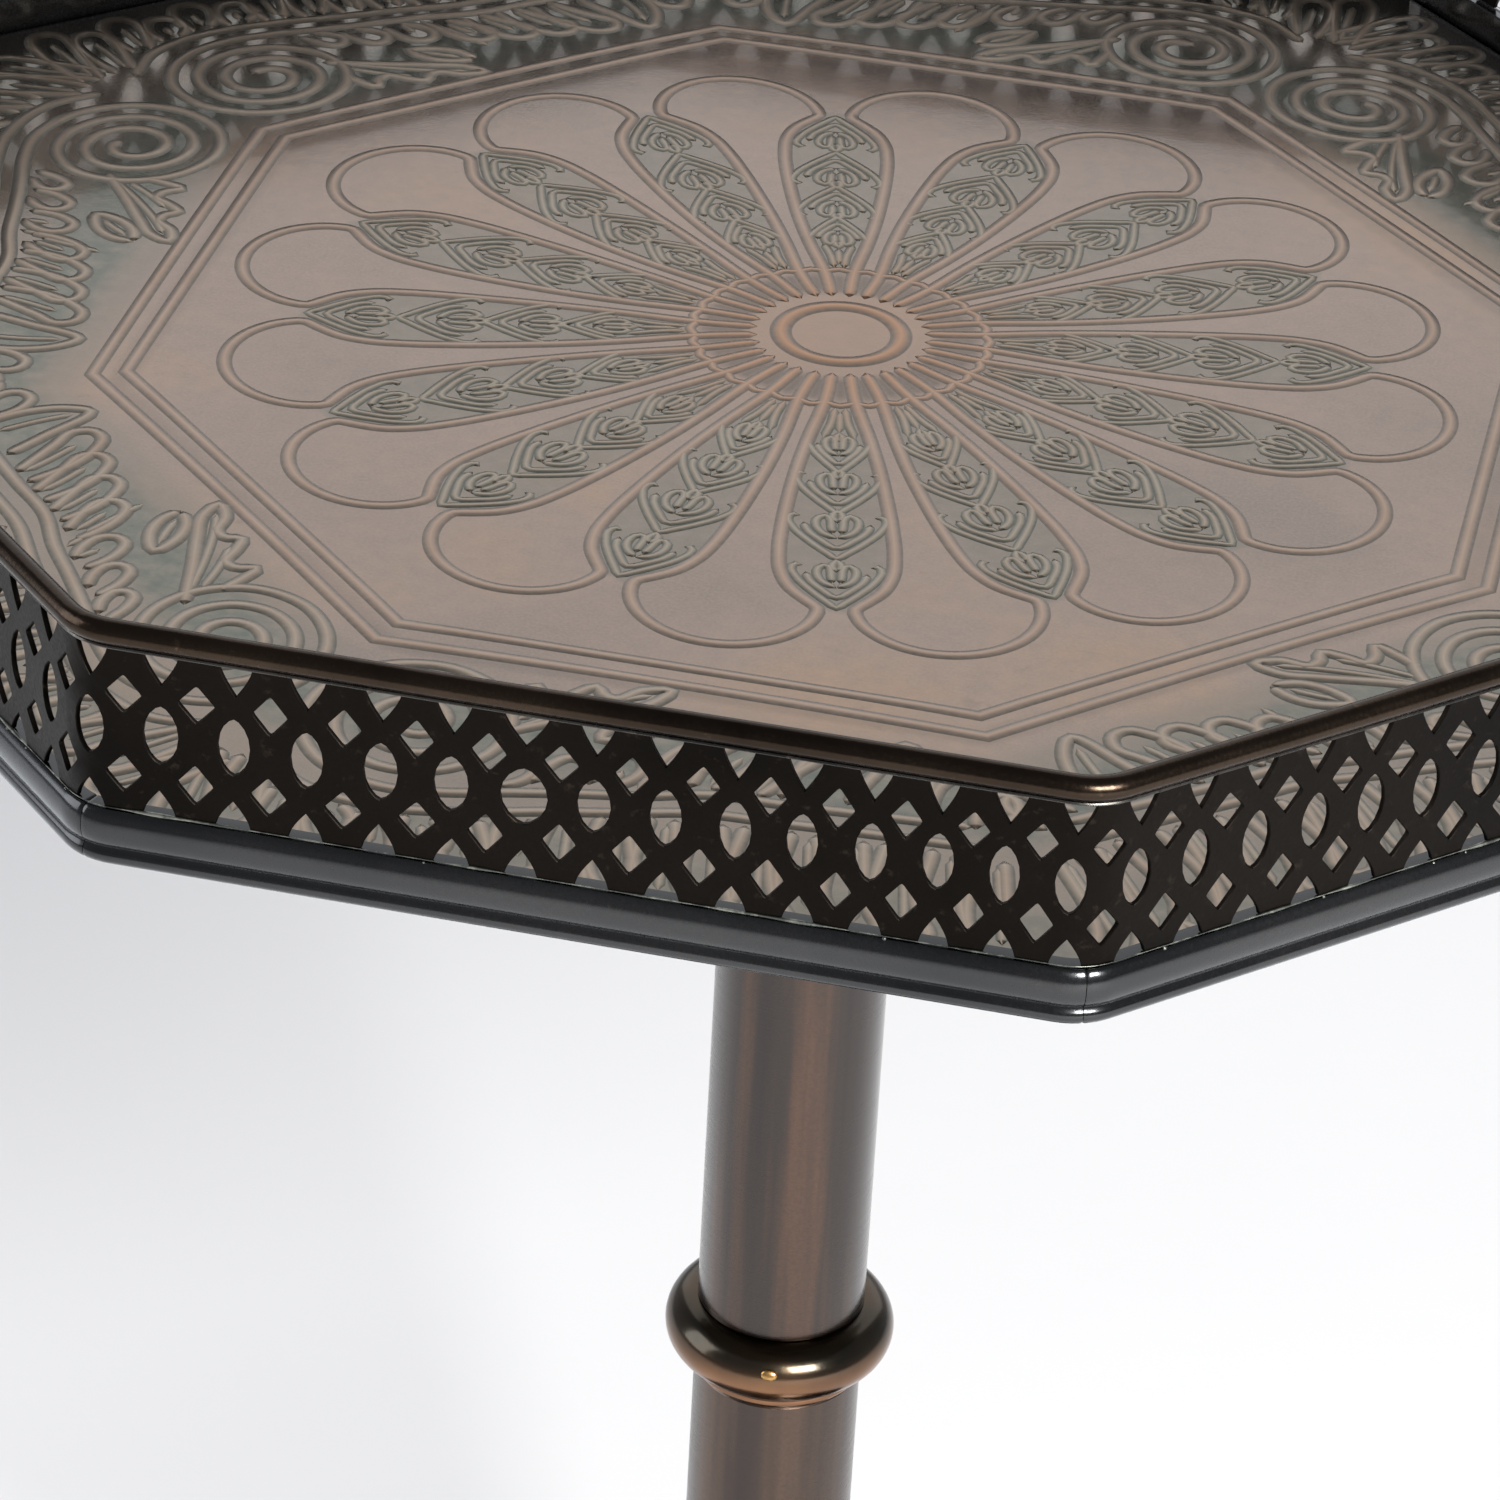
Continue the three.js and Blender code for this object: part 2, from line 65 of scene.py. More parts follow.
FLOOR_Z = box_mm("tray_floor")[1][2]
FLOOR_UNDER_Z = box_mm("tray_floor")[0][2]
FLOOR_APOTHEM = box_mm("tray_floor")[1][0]
GALLERY_LOW, GALLERY_HIGH = box_mm("gallery_panel_1")
GALLERY_FACE = GALLERY_HIGH[0]
GALLERY_HEIGHT = GALLERY_HIGH[2] - GALLERY_LOW[2]
SHEET = GALLERY_HIGH[0] - GALLERY_LOW[0]
RAIL_LOW, RAIL_HIGH = box_mm("top_rail")
RAIL_Z = (RAIL_LOW[2] + RAIL_HIGH[2]) / 2
RIM_LOW, RIM_HIGH = box_mm("rim_moulding_1")
print("floor top", FLOOR_Z, "gallery face", round(GALLERY_FACE, 2), "height", round(GALLERY_HEIGHT, 2))

# %% [markdown]
# ## Mesh tools
# Every new piece is a grid of points worked out in one go, then joined by quads. A grid can be round
# in one direction, as a ring is, or in both. Because each piece is a closed skin, the volume it
# encloses tells whether its faces look outwards: if the sum comes out negative, all are turned over.

# %% Grid faces and pieces
def grid_quads(rows, columns, round_rows=False, round_columns=False):
    """Faces of a grid numbered row by row; a round direction joins its last line to its first."""
    r = np.arange(rows - (not round_rows))[:, None]
    c = np.arange(columns - (not round_columns))
    r2, c2 = (r + 1) % rows, (c + 1) % columns
    corners = [r * columns + c, r2 * columns + c, r2 * columns + c2, r * columns + c2]
    return np.stack(corners, -1).reshape(-1, 4)


def end_faces(rows, columns):
    """The first and the last row of a grid that is round in its columns, each closed by one face."""
    first = np.arange(columns)
    return np.stack([first, (rows - 1) * columns + first[::-1]])


def enclosed(points, faces):
    """Volume inside closed faces: a sixth of the sum of p0 . (p1 x p2) over a fan of triangles."""
    total = 0.0
    for face in faces:
        for k in range(1, face.shape[1] - 1):
            a, b, c = points[face[:, 0]], points[face[:, k]], points[face[:, k + 1]]
            total += np.einsum("ij,ij->", a, np.cross(b, c)) / 6
    return total


def put_piece(name, points, faces, body, slot, finish, values=None, crease=35):
    """A named closed piece from points in millimetres; values are numbers kept at its points."""
    points = np.asarray(points, float).reshape(-1, 3)
    faces = [np.asarray(face, np.int32) for face in faces if len(face)]
    if enclosed(points - points.mean(0), faces) < 0:
        faces = [face[:, ::-1] for face in faces]
    counts = np.concatenate([np.full(len(face), face.shape[1]) for face in faces])
    mesh = bpy.data.meshes.new(name)
    mesh.vertices.add(len(points))
    mesh.vertices.foreach_set("co", (points * MM).astype(np.float32).ravel())
    mesh.loops.add(int(counts.sum()))
    mesh.loops.foreach_set("vertex_index", np.concatenate([face.ravel() for face in faces]).astype(np.int32))
    mesh.polygons.add(len(counts))
    mesh.polygons.foreach_set("loop_start", np.concatenate([[0], np.cumsum(counts)[:-1]]).astype(np.int32))
    mesh.update(calc_edges=True)
    mesh.validate()
    mesh.polygons.foreach_set("use_smooth", np.ones(len(mesh.polygons), bool))
    mesh.set_sharp_from_angle(angle=math.radians(crease))
    for key, value in (values or {}).items():
        kept = mesh.attributes.new(key, "FLOAT", "POINT")
        kept.data.foreach_set("value", np.asarray(value, np.float32).ravel())
    mesh.materials.append(finish)
    piece = bpy.data.objects.new(name, mesh)
    bpy.context.scene.collection.objects.link(piece)
    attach(piece, body)
    print(f"{name}: {len(points)} points, {len(counts)} faces")
    return piece


def turned_points(outline, segments=96):
    """A closed outline of (radius, z) carried round the Z axis: x = r cos a, y = r sin a."""
    outline = np.asarray(outline, float)
    angle = np.linspace(0, 2 * math.pi, segments, endpoint=False)[:, None]
    r, z = outline[None, :, 0], outline[None, :, 1] + 0 * angle
    return np.stack([r * np.cos(angle), r * np.sin(angle), z], -1)


def put_turned(name, outline, body, slot, finish):
    """A ring-shaped turned piece with that closed outline."""
    points = turned_points(outline)
    return put_piece(name, points, [grid_quads(*points.shape[:2], True, True)], body, slot, finish)


def through(points, step, closed=False):
    """A smooth line through points, evenly resampled: cubics whose slope at a point is the mean of
    the two chords there, each weighted by the other's length."""
    p = np.asarray(points, float)
    p = np.vstack([p[-1], p, p[:2]]) if closed else np.vstack([2 * p[0] - p[1], p, 2 * p[-1] - p[-2]])
    chord = np.linalg.norm(np.diff(p, axis=0), axis=1)[:, None]
    slope = np.diff(p, axis=0) / chord
    tangent = (slope[:-1] * chord[1:] + slope[1:] * chord[:-1]) / (chord[:-1] + chord[1:])
    t = np.linspace(0, 1, 16, endpoint=False)[None, :, None]
    start, end, span = p[1:-2, None], p[2:-1, None], chord[1:-1, None]
    line = (2 * t**3 - 3 * t**2 + 1) * start + (t**3 - 2 * t**2 + t) * span * tangent[:-1, None]
    line = line + (3 * t**2 - 2 * t**3) * end + (t**3 - t**2) * span * tangent[1:, None]
    line = np.vstack([line.reshape(-1, p.shape[1]), p[-2]])
    along = np.concatenate([[0], np.cumsum(np.linalg.norm(np.diff(line, axis=0), axis=1))])
    count = max(4, round(along[-1] / step))
    at = np.linspace(0, along[-1], count + 1)[: count if closed else count + 1]
    return np.stack([np.interp(at, along, line[:, k]) for k in range(p.shape[1])], -1)


# %% The octagon
def octagon_walk(distance, apothem, corner_radius):
    """Points and outward directions at distances round an octagon with rounded corners. Distance 0 is
    the middle of the corner at the left of the front side; each side is a straight run and, at each
    end, half of an arc of corner_radius."""
    straight = 2 * (apothem - corner_radius) * math.tan(HALF_CORNER)
    side = straight + corner_radius * 2 * HALF_CORNER
    number = np.floor(distance / side)
    from_middle = distance - (number + 0.5) * side
    past = np.maximum(np.abs(from_middle) - straight / 2, 0) * np.sign(from_middle)
    turn = past / corner_radius
    facing = -math.pi / 2 + 2 * HALF_CORNER * number
    flat = np.clip(from_middle, -straight / 2, straight / 2)
    out = apothem - corner_radius + corner_radius * np.cos(turn)
    across = flat + corner_radius * np.sin(turn)
    x = out * np.cos(facing) - across * np.sin(facing)
    y = out * np.sin(facing) + across * np.cos(facing)
    return x, y, np.cos(facing + turn), np.sin(facing + turn)


def octagon_length(apothem, corner_radius):
    """Eight straight runs and one full turn of arc."""
    return SIDES * 2 * (apothem - corner_radius) * math.tan(HALF_CORNER) + 2 * math.pi * corner_radius


def octagon_stations(apothem, corner_radius, straight_steps, arc_steps):
    """Distances round the octagon with more of them in the corners than on the straight runs."""
    straight = 2 * (apothem - corner_radius) * math.tan(HALF_CORNER)
    arc = corner_radius * 2 * HALF_CORNER
    one = np.concatenate([
        np.linspace(0, arc / 2, arc_steps, endpoint=False),
        np.linspace(arc / 2, arc / 2 + straight, straight_steps, endpoint=False),
        np.linspace(arc / 2 + straight, arc + straight, arc_steps, endpoint=False),
    ])
    return (np.arange(SIDES)[:, None] * (straight + arc) + one).ravel()


def round_octagon(distance, apothem, corner_radius, out, up):
    """A grid carried round the octagon, a row for each distance: path + out x outward, at height up."""
    x, y, nx, ny = (value[:, None] for value in octagon_walk(distance, apothem, corner_radius))
    return np.stack([x + nx * out, y + ny * out, up], -1)


CORNER_RADIUS = 12.0
STRIP_LENGTH = octagon_length(GALLERY_FACE, CORNER_RADIUS)
print("gallery length", round(STRIP_LENGTH, 1), "mm")

# %% [markdown]
# ## Finishes
# All the bronze is one metal under different hands: bright where it is rubbed, nearly black in the
# gallery, green in the recesses of the relief. Each finish is a metal whose colour drifts with a slow
# noise and breaks up with a fine one, with the same noise moving its gloss, and a very shallow bump
# for the skin of rolled or cast metal. Patterns read Object coordinates, in metres, so that a scale
# of 1000 gives features about a millimetre across.

# %% Small tools for finishes
def tone(red, green, blue):
    """A screen colour as linear light: ((v + 0.055) / 1.055) to the power 2.4."""
    value = np.array([red, green, blue]) / 255
    linear = np.where(value > 0.04045, ((value + 0.055) / 1.055) ** 2.4, value / 12.92)
    return (*linear.tolist(), 1.0)


class Finish:
    """A material under construction: adds nodes and joins them in one call each."""

    def __init__(self, name, metallic=1.0, **sockets):
        self.material = bpy.data.materials.new(name)
        self.material.use_nodes = True
        self.nodes = self.material.node_tree.nodes
        self.surface = self.nodes["Principled BSDF"]
        self.surface.inputs["Metallic"].default_value = metallic
        for key, value in sockets.items():
            self.surface.inputs[key.replace("_", " ")].default_value = value
        self.place = self.add("TexCoord").outputs["Object"]

    def add(self, kind, inputs=None, **settings):
        """A node with its settings; an input is given a number or joined to another node's output."""
        made = self.nodes.new("ShaderNode" + kind)
        for key, value in settings.items():
            setattr(made, key, value)
        for key, value in (inputs or {}).items():
            self.feed(made.inputs[key], value)
        return made

    def feed(self, socket, value):
        if isinstance(value, bpy.types.NodeSocket):
            self.material.node_tree.links.new(value, socket)
        else:
            socket.default_value = value

    def noise(self, scale, detail, stretch=(1, 1, 1), rough=0.55):
        """Cloudy noise on Object coordinates, stretched along an axis by a number under 1."""
        place = self.add("Mapping", {"Vector": self.place, "Scale": stretch}).outputs[0]
        cloud = {"Vector": place, "Scale": scale, "Detail": detail, "Roughness": rough}
        return self.add("TexNoise", cloud).outputs["Fac"]

    def ramp(self, value, stops):
        """Colours at places from 0 to 1."""
        made = self.add("ValToRGB", {"Fac": value})
        ends = made.color_ramp.elements
        ends[0].position, ends[0].color = stops[0]
        ends[1].position, ends[1].color = stops[-1]
        for place, colour in stops[1:-1]:
            ends.new(place).color = colour
        return made.outputs["Color"]

    def spread(self, value, low, high, to_low, to_high):
        """A value from low..high moved to to_low..to_high, and kept inside."""
        limits = {"From Min": low, "From Max": high, "To Min": to_low, "To Max": to_high}
        return self.add("MapRange", {"Value": value, **limits}).outputs["Result"]

    def mix(self, amount, first, second):
        """The first colour where the amount is 0, the second where it is 1."""
        made = self.add("Mix", data_type="RGBA")
        for number, value in ((0, amount), (6, first), (7, second)):
            self.feed(made.inputs[number], value)
        return made.outputs[2]

    def worked(self, how, first, second):
        made = self.add("Math", operation=how)
        self.feed(made.inputs[0], first)
        self.feed(made.inputs[1], second)
        return made.outputs[0]

    def sum(self, first, second):
        return self.worked("ADD", first, second)

    def product(self, first, second):
        return self.worked("MULTIPLY", first, second)

    def kept(self, name):
        """A number kept at the piece's points."""
        return self.add("Attribute", attribute_name=name).outputs["Fac"]

    def done(self, colour, gloss, height, depth):
        """Joins the colour, the roughness and a bump of that depth in metres."""
        self.feed(self.surface.inputs["Base Color"], colour)
        self.feed(self.surface.inputs["Roughness"], gloss)
        bump = self.add("Bump", {"Height": height, "Distance": depth, "Strength": 1.0})
        self.feed(self.surface.inputs["Normal"], bump.outputs[0])
        return self.material


# %% [markdown]
# The tray's floor is a lacquered, pinkish grey-brown. It is browner in soft patches, has a few dark
# stains, greens inside the petals and the border, where polish never reached, and is warm at the
# middle. The floor's points carry how green and how warm each place is, and where painted shade darkens
# it: in the slots between the spokes, between the two frame lines, along the foot of the gallery and all
# over the underside. They are worked out from the same shapes as the relief. The raised lines take their
# tone from their own points in the same way: pale on the crest, rubbed metal with a painted highlight,
# and dark along both feet, patina with painted shade.

# %% The tray's finishes
SKIN = 0.00002  # metres of bump, as deep as the grain of rolled sheet
LATHE_RINGS = 0.000012
LACQUER = 1.5  # refractive index


def tray_floor_finish():
    look = Finish("tray_floor_patina", Coat_Weight=0.4, Coat_Roughness=0.05, Coat_IOR=LACQUER)
    cloud, fine, grain = look.noise(14, 4), look.noise(240, 3), look.noise(1500, 2)
    taupe, rose, brown = tone(130, 116, 106), tone(147, 128, 115), tone(160, 132, 108)
    plain = look.ramp(cloud, [(0.3, taupe), (0.52, rose), (0.72, brown)])
    plain = look.mix(look.spread(fine, 0.3, 0.75, 0, 0.35), plain, tone(117, 108, 102))
    plain = look.mix(look.spread(grain, 0.35, 0.7, 0, 0.3), plain, tone(160, 146, 136))
    stain = look.noise(46, 5, rough=0.7)
    plain = look.mix(look.spread(stain, 0.64, 0.78, 0, 0.55), plain, tone(94, 82, 72))
    plain = look.mix(look.product(look.kept("warm"), 0.4), plain, tone(154, 122, 98))
    green = look.mix(look.spread(fine, 0.35, 0.7, 0, 1), tone(90, 97, 88), tone(122, 118, 107))
    colour = look.mix(look.kept("green"), plain, green)
    # Painted shade: darker where the points carry shade.
    colour = look.mix(look.kept("shade"), colour, tone(60, 56, 50))
    gloss = look.sum(look.spread(cloud, 0.3, 0.7, 0.15, 0.21), look.spread(grain, 0.3, 0.7, -0.02, 0.03))
    return look.done(colour, gloss, look.sum(fine, grain), SKIN)


def relief_finish():
    look = Finish("tray_relief_patina", Coat_Weight=0.3, Coat_Roughness=0.2, Coat_IOR=LACQUER)
    cloud, fine = look.noise(60, 4), look.noise(700, 3)
    crest, shade, green = look.kept("crest"), look.kept("shade"), look.kept("green")
    floor = look.mix(green, tone(140, 124, 113), tone(118, 115, 105))
    dark = look.mix(green, tone(78, 76, 70), tone(40, 56, 49))
    bright = look.mix(green, tone(170, 146, 128), tone(158, 148, 132))
    bright = look.mix(look.spread(cloud, 0.45, 0.75, 0, 0.5), bright, tone(164, 136, 114))
    bright = look.mix(look.kept("warm"), bright, tone(176, 134, 102))
    # Painted highlight over rubbed metal on the crest, painted shade over patina along the feet.
    colour = look.mix(crest, floor, bright)
    colour = look.mix(look.product(shade, look.spread(fine, 0.3, 0.7, 0.7, 1.0)), colour, dark)
    return look.done(colour, look.spread(cloud, 0.3, 0.7, 0.28, 0.36), fine, 1.5 * SKIN)


TRAY_FINISH, RELIEF_FINISH = tray_floor_finish(), relief_finish()
print("tray finishes", TRAY_FINISH.name, RELIEF_FINISH.name)


# %% [markdown]
# The gallery, rail and moulding were darkened almost to black. The gallery is the flattest and
# darkest. The rail has a brown-black skin rubbed to bronze in specks, and the moulding shows a faint
# blue-grey bloom under a clear coat. The lip under the rail is a paler grey, a painted catch light.
# Solder is greyer, and bare metal shows in one bright drop.

# %% The dark finishes
def dark_finish(name, deep, middle, worn, gloss, speck=0.7, **sockets):
    """Deep to middle by a slow noise, and worn where a fine noise passes speck."""
    look = Finish(name, **sockets)
    cloud, fine, grain = look.noise(22, 4), look.noise(330, 4, rough=0.65), look.noise(1400, 2)
    colour = look.ramp(cloud, [(0.32, tone(*deep)), (0.62, tone(*middle))])
    colour = look.mix(look.spread(fine, speck - 0.1, speck + 0.08, 0, 0.7), colour, tone(*worn))
    colour = look.mix(look.spread(grain, 0.4, 0.7, 0, 0.25), colour, tone(*deep))
    roughness = look.sum(look.spread(cloud, 0.3, 0.7, *gloss), look.spread(grain, 0.3, 0.7, -0.04, 0.06))
    return look.done(colour, roughness, look.sum(fine, grain), SKIN)


GALLERY_FINISH = dark_finish("gallery_black_bronze", (19, 17, 15), (28, 24, 21), (62, 54, 46), (0.4, 0.5))
RAIL_FINISH = dark_finish(
    "rail_brown_bronze", (44, 37, 31), (66, 55, 46), (122, 104, 84), (0.18, 0.25), 0.76)
MOULDING_FINISH = dark_finish(
    "moulding_slate_bronze", (32, 33, 35), (50, 49, 49), (96, 90, 80), (0.2, 0.3), 0.78,
    Coat_Weight=0.7, Coat_Roughness=0.14, Coat_IOR=1.6, Coat_Tint=(0.86, 0.94, 1.0, 1.0))
# The lip is paler than the rail: a painted catch light along the rail's lower edge.
LIP_CATCHLIGHT_FINISH = dark_finish("lip_painted_catchlight_bronze", (62, 60, 58), (92, 88, 84), (140, 132, 122), (0.22, 0.32))
SOLDER_FINISH = dark_finish(
    "solder_residue", (66, 68, 66), (98, 102, 98), (176, 178, 168), (0.35, 0.55), 0.55)
BARE_FINISH = dark_finish(
    "bare_bronze_drop", (150, 112, 66), (184, 142, 88), (214, 178, 120), (0.2, 0.32), 0.6)
print("dark finishes made")


# %% [markdown]
# The column was polished round and round on a lathe and then stained, so its colour runs in long
# upright streaks and its gloss in fine rings. The upper tube is painted darker than the lower one, as
# painted shade under the tray. The shader's own anisotropy pulls highlights out into upright bands, as
# the rings of scratches do on the real tube. The ring collar is dark above, patina with painted shade,
# and copper below, a painted reflection of the bright floor, which its points carry.

# %% The column's finishes
def column_finish(name, dark, middle, copper, coat):
    look = Finish(name, Anisotropic=0.65, Coat_Weight=coat, Coat_Roughness=0.16, Coat_IOR=1.6)
    streak, cloud = look.noise(85, 4, (1, 1, 0.035)), look.noise(30, 4, (1, 1, 0.4))
    rings, grain = look.noise(260, 3, (0.05, 0.05, 3.5)), look.noise(1300, 2)
    colour = look.ramp(streak, [(0.36, tone(*dark)), (0.5, tone(*middle)), (0.62, tone(*copper))])
    colour = look.mix(look.spread(cloud, 0.4, 0.72, 0, 0.5), colour, tone(*middle))
    colour = look.mix(look.spread(grain, 0.4, 0.7, 0, 0.25), colour, tone(*dark))
    gloss = look.sum(look.spread(cloud, 0.3, 0.7, 0.22, 0.3), look.spread(rings, 0.3, 0.7, -0.03, 0.04))
    upright = look.add("Tangent", direction_type="RADIAL", axis="Z").outputs[0]
    look.feed(look.surface.inputs["Tangent"], upright)
    return look.done(colour, gloss, look.sum(rings, grain), LATHE_RINGS)


def collar_finish():
    look = Finish("collar_polished_bronze", Coat_Weight=0.3, Coat_Roughness=0.1)
    cloud, rings, grain = look.noise(38, 4), look.noise(230, 3, (0.08, 0.08, 3)), look.noise(1200, 2)
    stained = look.ramp(cloud, [(0.3, tone(50, 48, 42)), (0.5, tone(66, 58, 47)), (0.7, tone(90, 72, 54))])
    stained = look.mix(look.spread(grain, 0.4, 0.7, 0, 0.35), stained, tone(62, 61, 54))
    copper = look.ramp(cloud, [(0.3, tone(112, 82, 62)), (0.7, tone(164, 118, 82))])
    # Dark above and copper below by height: painted shade from the tray's underside above, painted reflection of the
    # bright floor below.
    colour = look.mix(look.kept("painted_floor_reflection"), stained, copper)
    gloss = look.sum(look.spread(cloud, 0.3, 0.7, 0.18, 0.26), look.spread(rings, 0.3, 0.7, -0.03, 0.04))
    return look.done(colour, gloss, look.sum(rings, grain), LATHE_RINGS)


COLUMN_FINISHES = {
    # The upper tube's darker tones are painted shade under the tray.
    "upper_tube": column_finish("upper_column_shaded_bronze", (38, 33, 32), (52, 42, 37), (90, 64, 48), 0.7),
    "lower_tube": column_finish("lower_column_bronze", (58, 52, 50), (72, 61, 56), (94, 76, 64), 0.35),
}
COLLAR_FINISH = collar_finish()
print("column finishes made")


# %% [markdown]
# Hidden parts get plain workshop finishes: bright steel with a drawn grain, rough cast iron, a brown
# fibre washer and green felt.

# %% The hidden parts' finishes
def plain_finish(name, dark, light, scale, gloss, metallic, depth, stretch=(1, 1, 1), **sockets):
    look = Finish(name, metallic, **sockets)
    cloud, fine = look.noise(scale, 5, stretch, 0.6), look.noise(scale * 6, 3, stretch)
    colour = look.ramp(cloud, [(0.3, tone(*dark)), (0.7, tone(*light))])
    return look.done(colour, look.spread(fine, 0.3, 0.7, *gloss), look.sum(cloud, fine), depth)


STEEL_FINISH = plain_finish(
    "drawn_steel", (120, 119, 116), (170, 169, 165), 300, (0.28, 0.45), 1.0, SKIN, (1, 1, 0.2))
IRON_FINISH = plain_finish("cast_iron", (40, 38, 36), (66, 61, 56), 420, (0.7, 0.9), 0.9, 0.0002)
FIBRE_FINISH = plain_finish("pressed_fibre", (72, 38, 26), (112, 62, 42), 500, (0.7, 0.9), 0.0, 0.00008)
FELT_FINISH = plain_finish(
    "green_felt", (24, 44, 34), (44, 70, 54), 900, (0.9, 1.0), 0.0, 0.0004, Sheen_Weight=0.5)
SCREWS = [f"base_screw_{number}" for number in range(1, 5)]
HIDDEN = [
    (STEEL_FINISH, ["cap_nut", "tie_rod", "rod_spacer", "rod_washer", "rod_nut", "bottom_plate", *SCREWS]),
    (IRON_FINISH, ["base_weight"]),
    (FIBRE_FINISH, ["seat_washer"]),
    (FELT_FINISH, ["base_felt"]),
]
for finish, names in HIDDEN:
    for name in names:
        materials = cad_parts[name].data.materials
        materials.clear()
        materials.append(finish)
print("hidden nodes finished:", sum(len(names) for _, names in HIDDEN))

# %% [markdown]
# ## The pierced gallery
# The real gallery is one strip of sheet, punched with ovals, diamonds and notches and bent round the
# tray. Cutting hundreds of holes with a boolean would leave ragged faces. Instead the metal is divided
# by zigzag lines into a rhomb round each oval and diamond and a triangle round each notch, and each is
# filled by a ring of quads from the hole's edge out to that line. The ring also goes through the sheet
# to its back, with a small chamfer at the punched edge, so the strip is one closed skin.

# %% The strip's measurements
OVALS = 115
PITCH = STRIP_LENGTH / OVALS
FIRST_OVAL = 0.05  # of a pitch past the left front corner
UPPER_KNOT, MIDDLE_KNOT, LOWER_KNOT = (share * GALLERY_HEIGHT for share in (0.735, 0.474, 0.238))
OVAL_Z, UPPER_DIAMOND_Z, LOWER_DIAMOND_Z = (share * GALLERY_HEIGHT for share in (0.489, 0.72, 0.226))
OVAL_HALF, DIAMOND_HALF = np.array([2.75, 5.4]), np.array([3.0, 3.75])
TOP_NOTCH, BOTTOM_NOTCH = np.array([3.05, 6.3]), np.array([2.8, 4.9])
CHAMFER = 0.14
ONE_POINT = 1 / 500  # closer than this, in millimetres, two patches' points are the same point
# The front side was stretched in bending: its middle stands a third of a pitch to the right.
FRONT_DRIFT = 0.33
# The punches were set by eye, so sizes differ by a few hundredths and places by a sixth of a millimetre.
SIZE_SPREAD, PLACE_SPREAD = 0.035, 0.16
KINDS = 5  # oval, upper diamond, lower diamond, top notch, bottom notch
random = np.random.default_rng(7)
size_of = 1 + SIZE_SPREAD * random.standard_normal((OVALS, KINDS, 2))
shift_of = PLACE_SPREAD * random.standard_normal((OVALS, KINDS, 2))
size_of[6, 0, 0], size_of[6, 3, 0] = 1.42, 1.3  # one oval was struck twice, with a wide notch over it
print("pitch", round(PITCH, 3))


# %% Outlines of the holes and of the metal round them
def rhomb(low, high, middle):
    """Four corners at right, top, left and bottom with three points between each two."""
    corners = np.array([[PITCH / 2, middle], [0, high], [-PITCH / 2, middle], [0, low]])
    t = np.array([0, 0.25, 0.5, 0.75])[None, :, None]
    return (corners[:, None] * (1 - t) + np.roll(corners, -1, 0)[:, None] * t).reshape(-1, 2)


def oval_hole():
    """x = cos a to the power 1.3, z = sin a: an ellipse drawn to a blunt point above and below."""
    a = np.arange(16) * math.pi / 8
    return np.stack([np.sign(np.cos(a)) * np.abs(np.cos(a)) ** 1.3, np.sin(a)], -1)


def diamond_hole():
    """Straight sides whose corners are drawn in a little, so that they read as punched."""
    t = np.array([0, 0.12, 0.5, 0.88])
    sides = np.stack([1 - t, t], -1) * np.array([0.95, 1, 1, 1])[:, None]
    turn = np.array([[[1, 0], [0, 1]], [[0, -1], [1, 0]], [[-1, 0], [0, -1]], [[0, 1], [-1, 0]]])
    return np.einsum("tj,qij->qti", sides, turn).reshape(-1, 2)


def notch_hole(sign):
    """From one end of the open side to the tip and back to the other end, with bowed sides."""
    v = np.linspace(0, 1, 5)
    left = np.stack([-(1 - v**1.45), -v], -1)
    right = left[-2::-1] * [-1, 1]
    return np.vstack([left, right]) * sign


def wedge(sign, base_z, tip_z):
    """The metal's outline round a notch: base corner, tip, base corner, each side in four parts."""
    t = np.linspace(0, 1, 5)[:, None]
    start, tip, end = np.array([[-sign * PITCH / 2, base_z], [0, tip_z], [sign * PITCH / 2, base_z]])
    return np.vstack([start * (1 - t) + tip * t, (tip * (1 - t) + end * t)[1:]])


def punched(hole, metal, kind, height, half, along):
    """(ovals, points, 6, 3) of along, up and depth: front, chamfer, wall, chamfer, back."""
    slide = np.array([1, 0]) if kind > 2 else 1  # a notch stays on its edge of the strip
    inner = hole * half * size_of[:, kind, None] + (0, height) + shift_of[:, kind, None] * slide
    outer = np.broadcast_to(metal, inner.shape)
    share = (CHAMFER / np.linalg.norm(outer - inner, axis=-1))[..., None]
    edge = inner * (1 - share) + outer * share
    flat = np.stack([outer, edge, inner, inner, edge, outer], -2)
    depth = np.array([0, 0, -CHAMFER, CHAMFER - SHEET, -SHEET, -SHEET])[:, None]
    whole = np.concatenate([flat, np.broadcast_to(depth, (*flat.shape[:-1], 1))], -1)
    whole[..., 0] += along + (np.arange(OVALS)[:, None, None] + FIRST_OVAL) * PITCH
    return whole


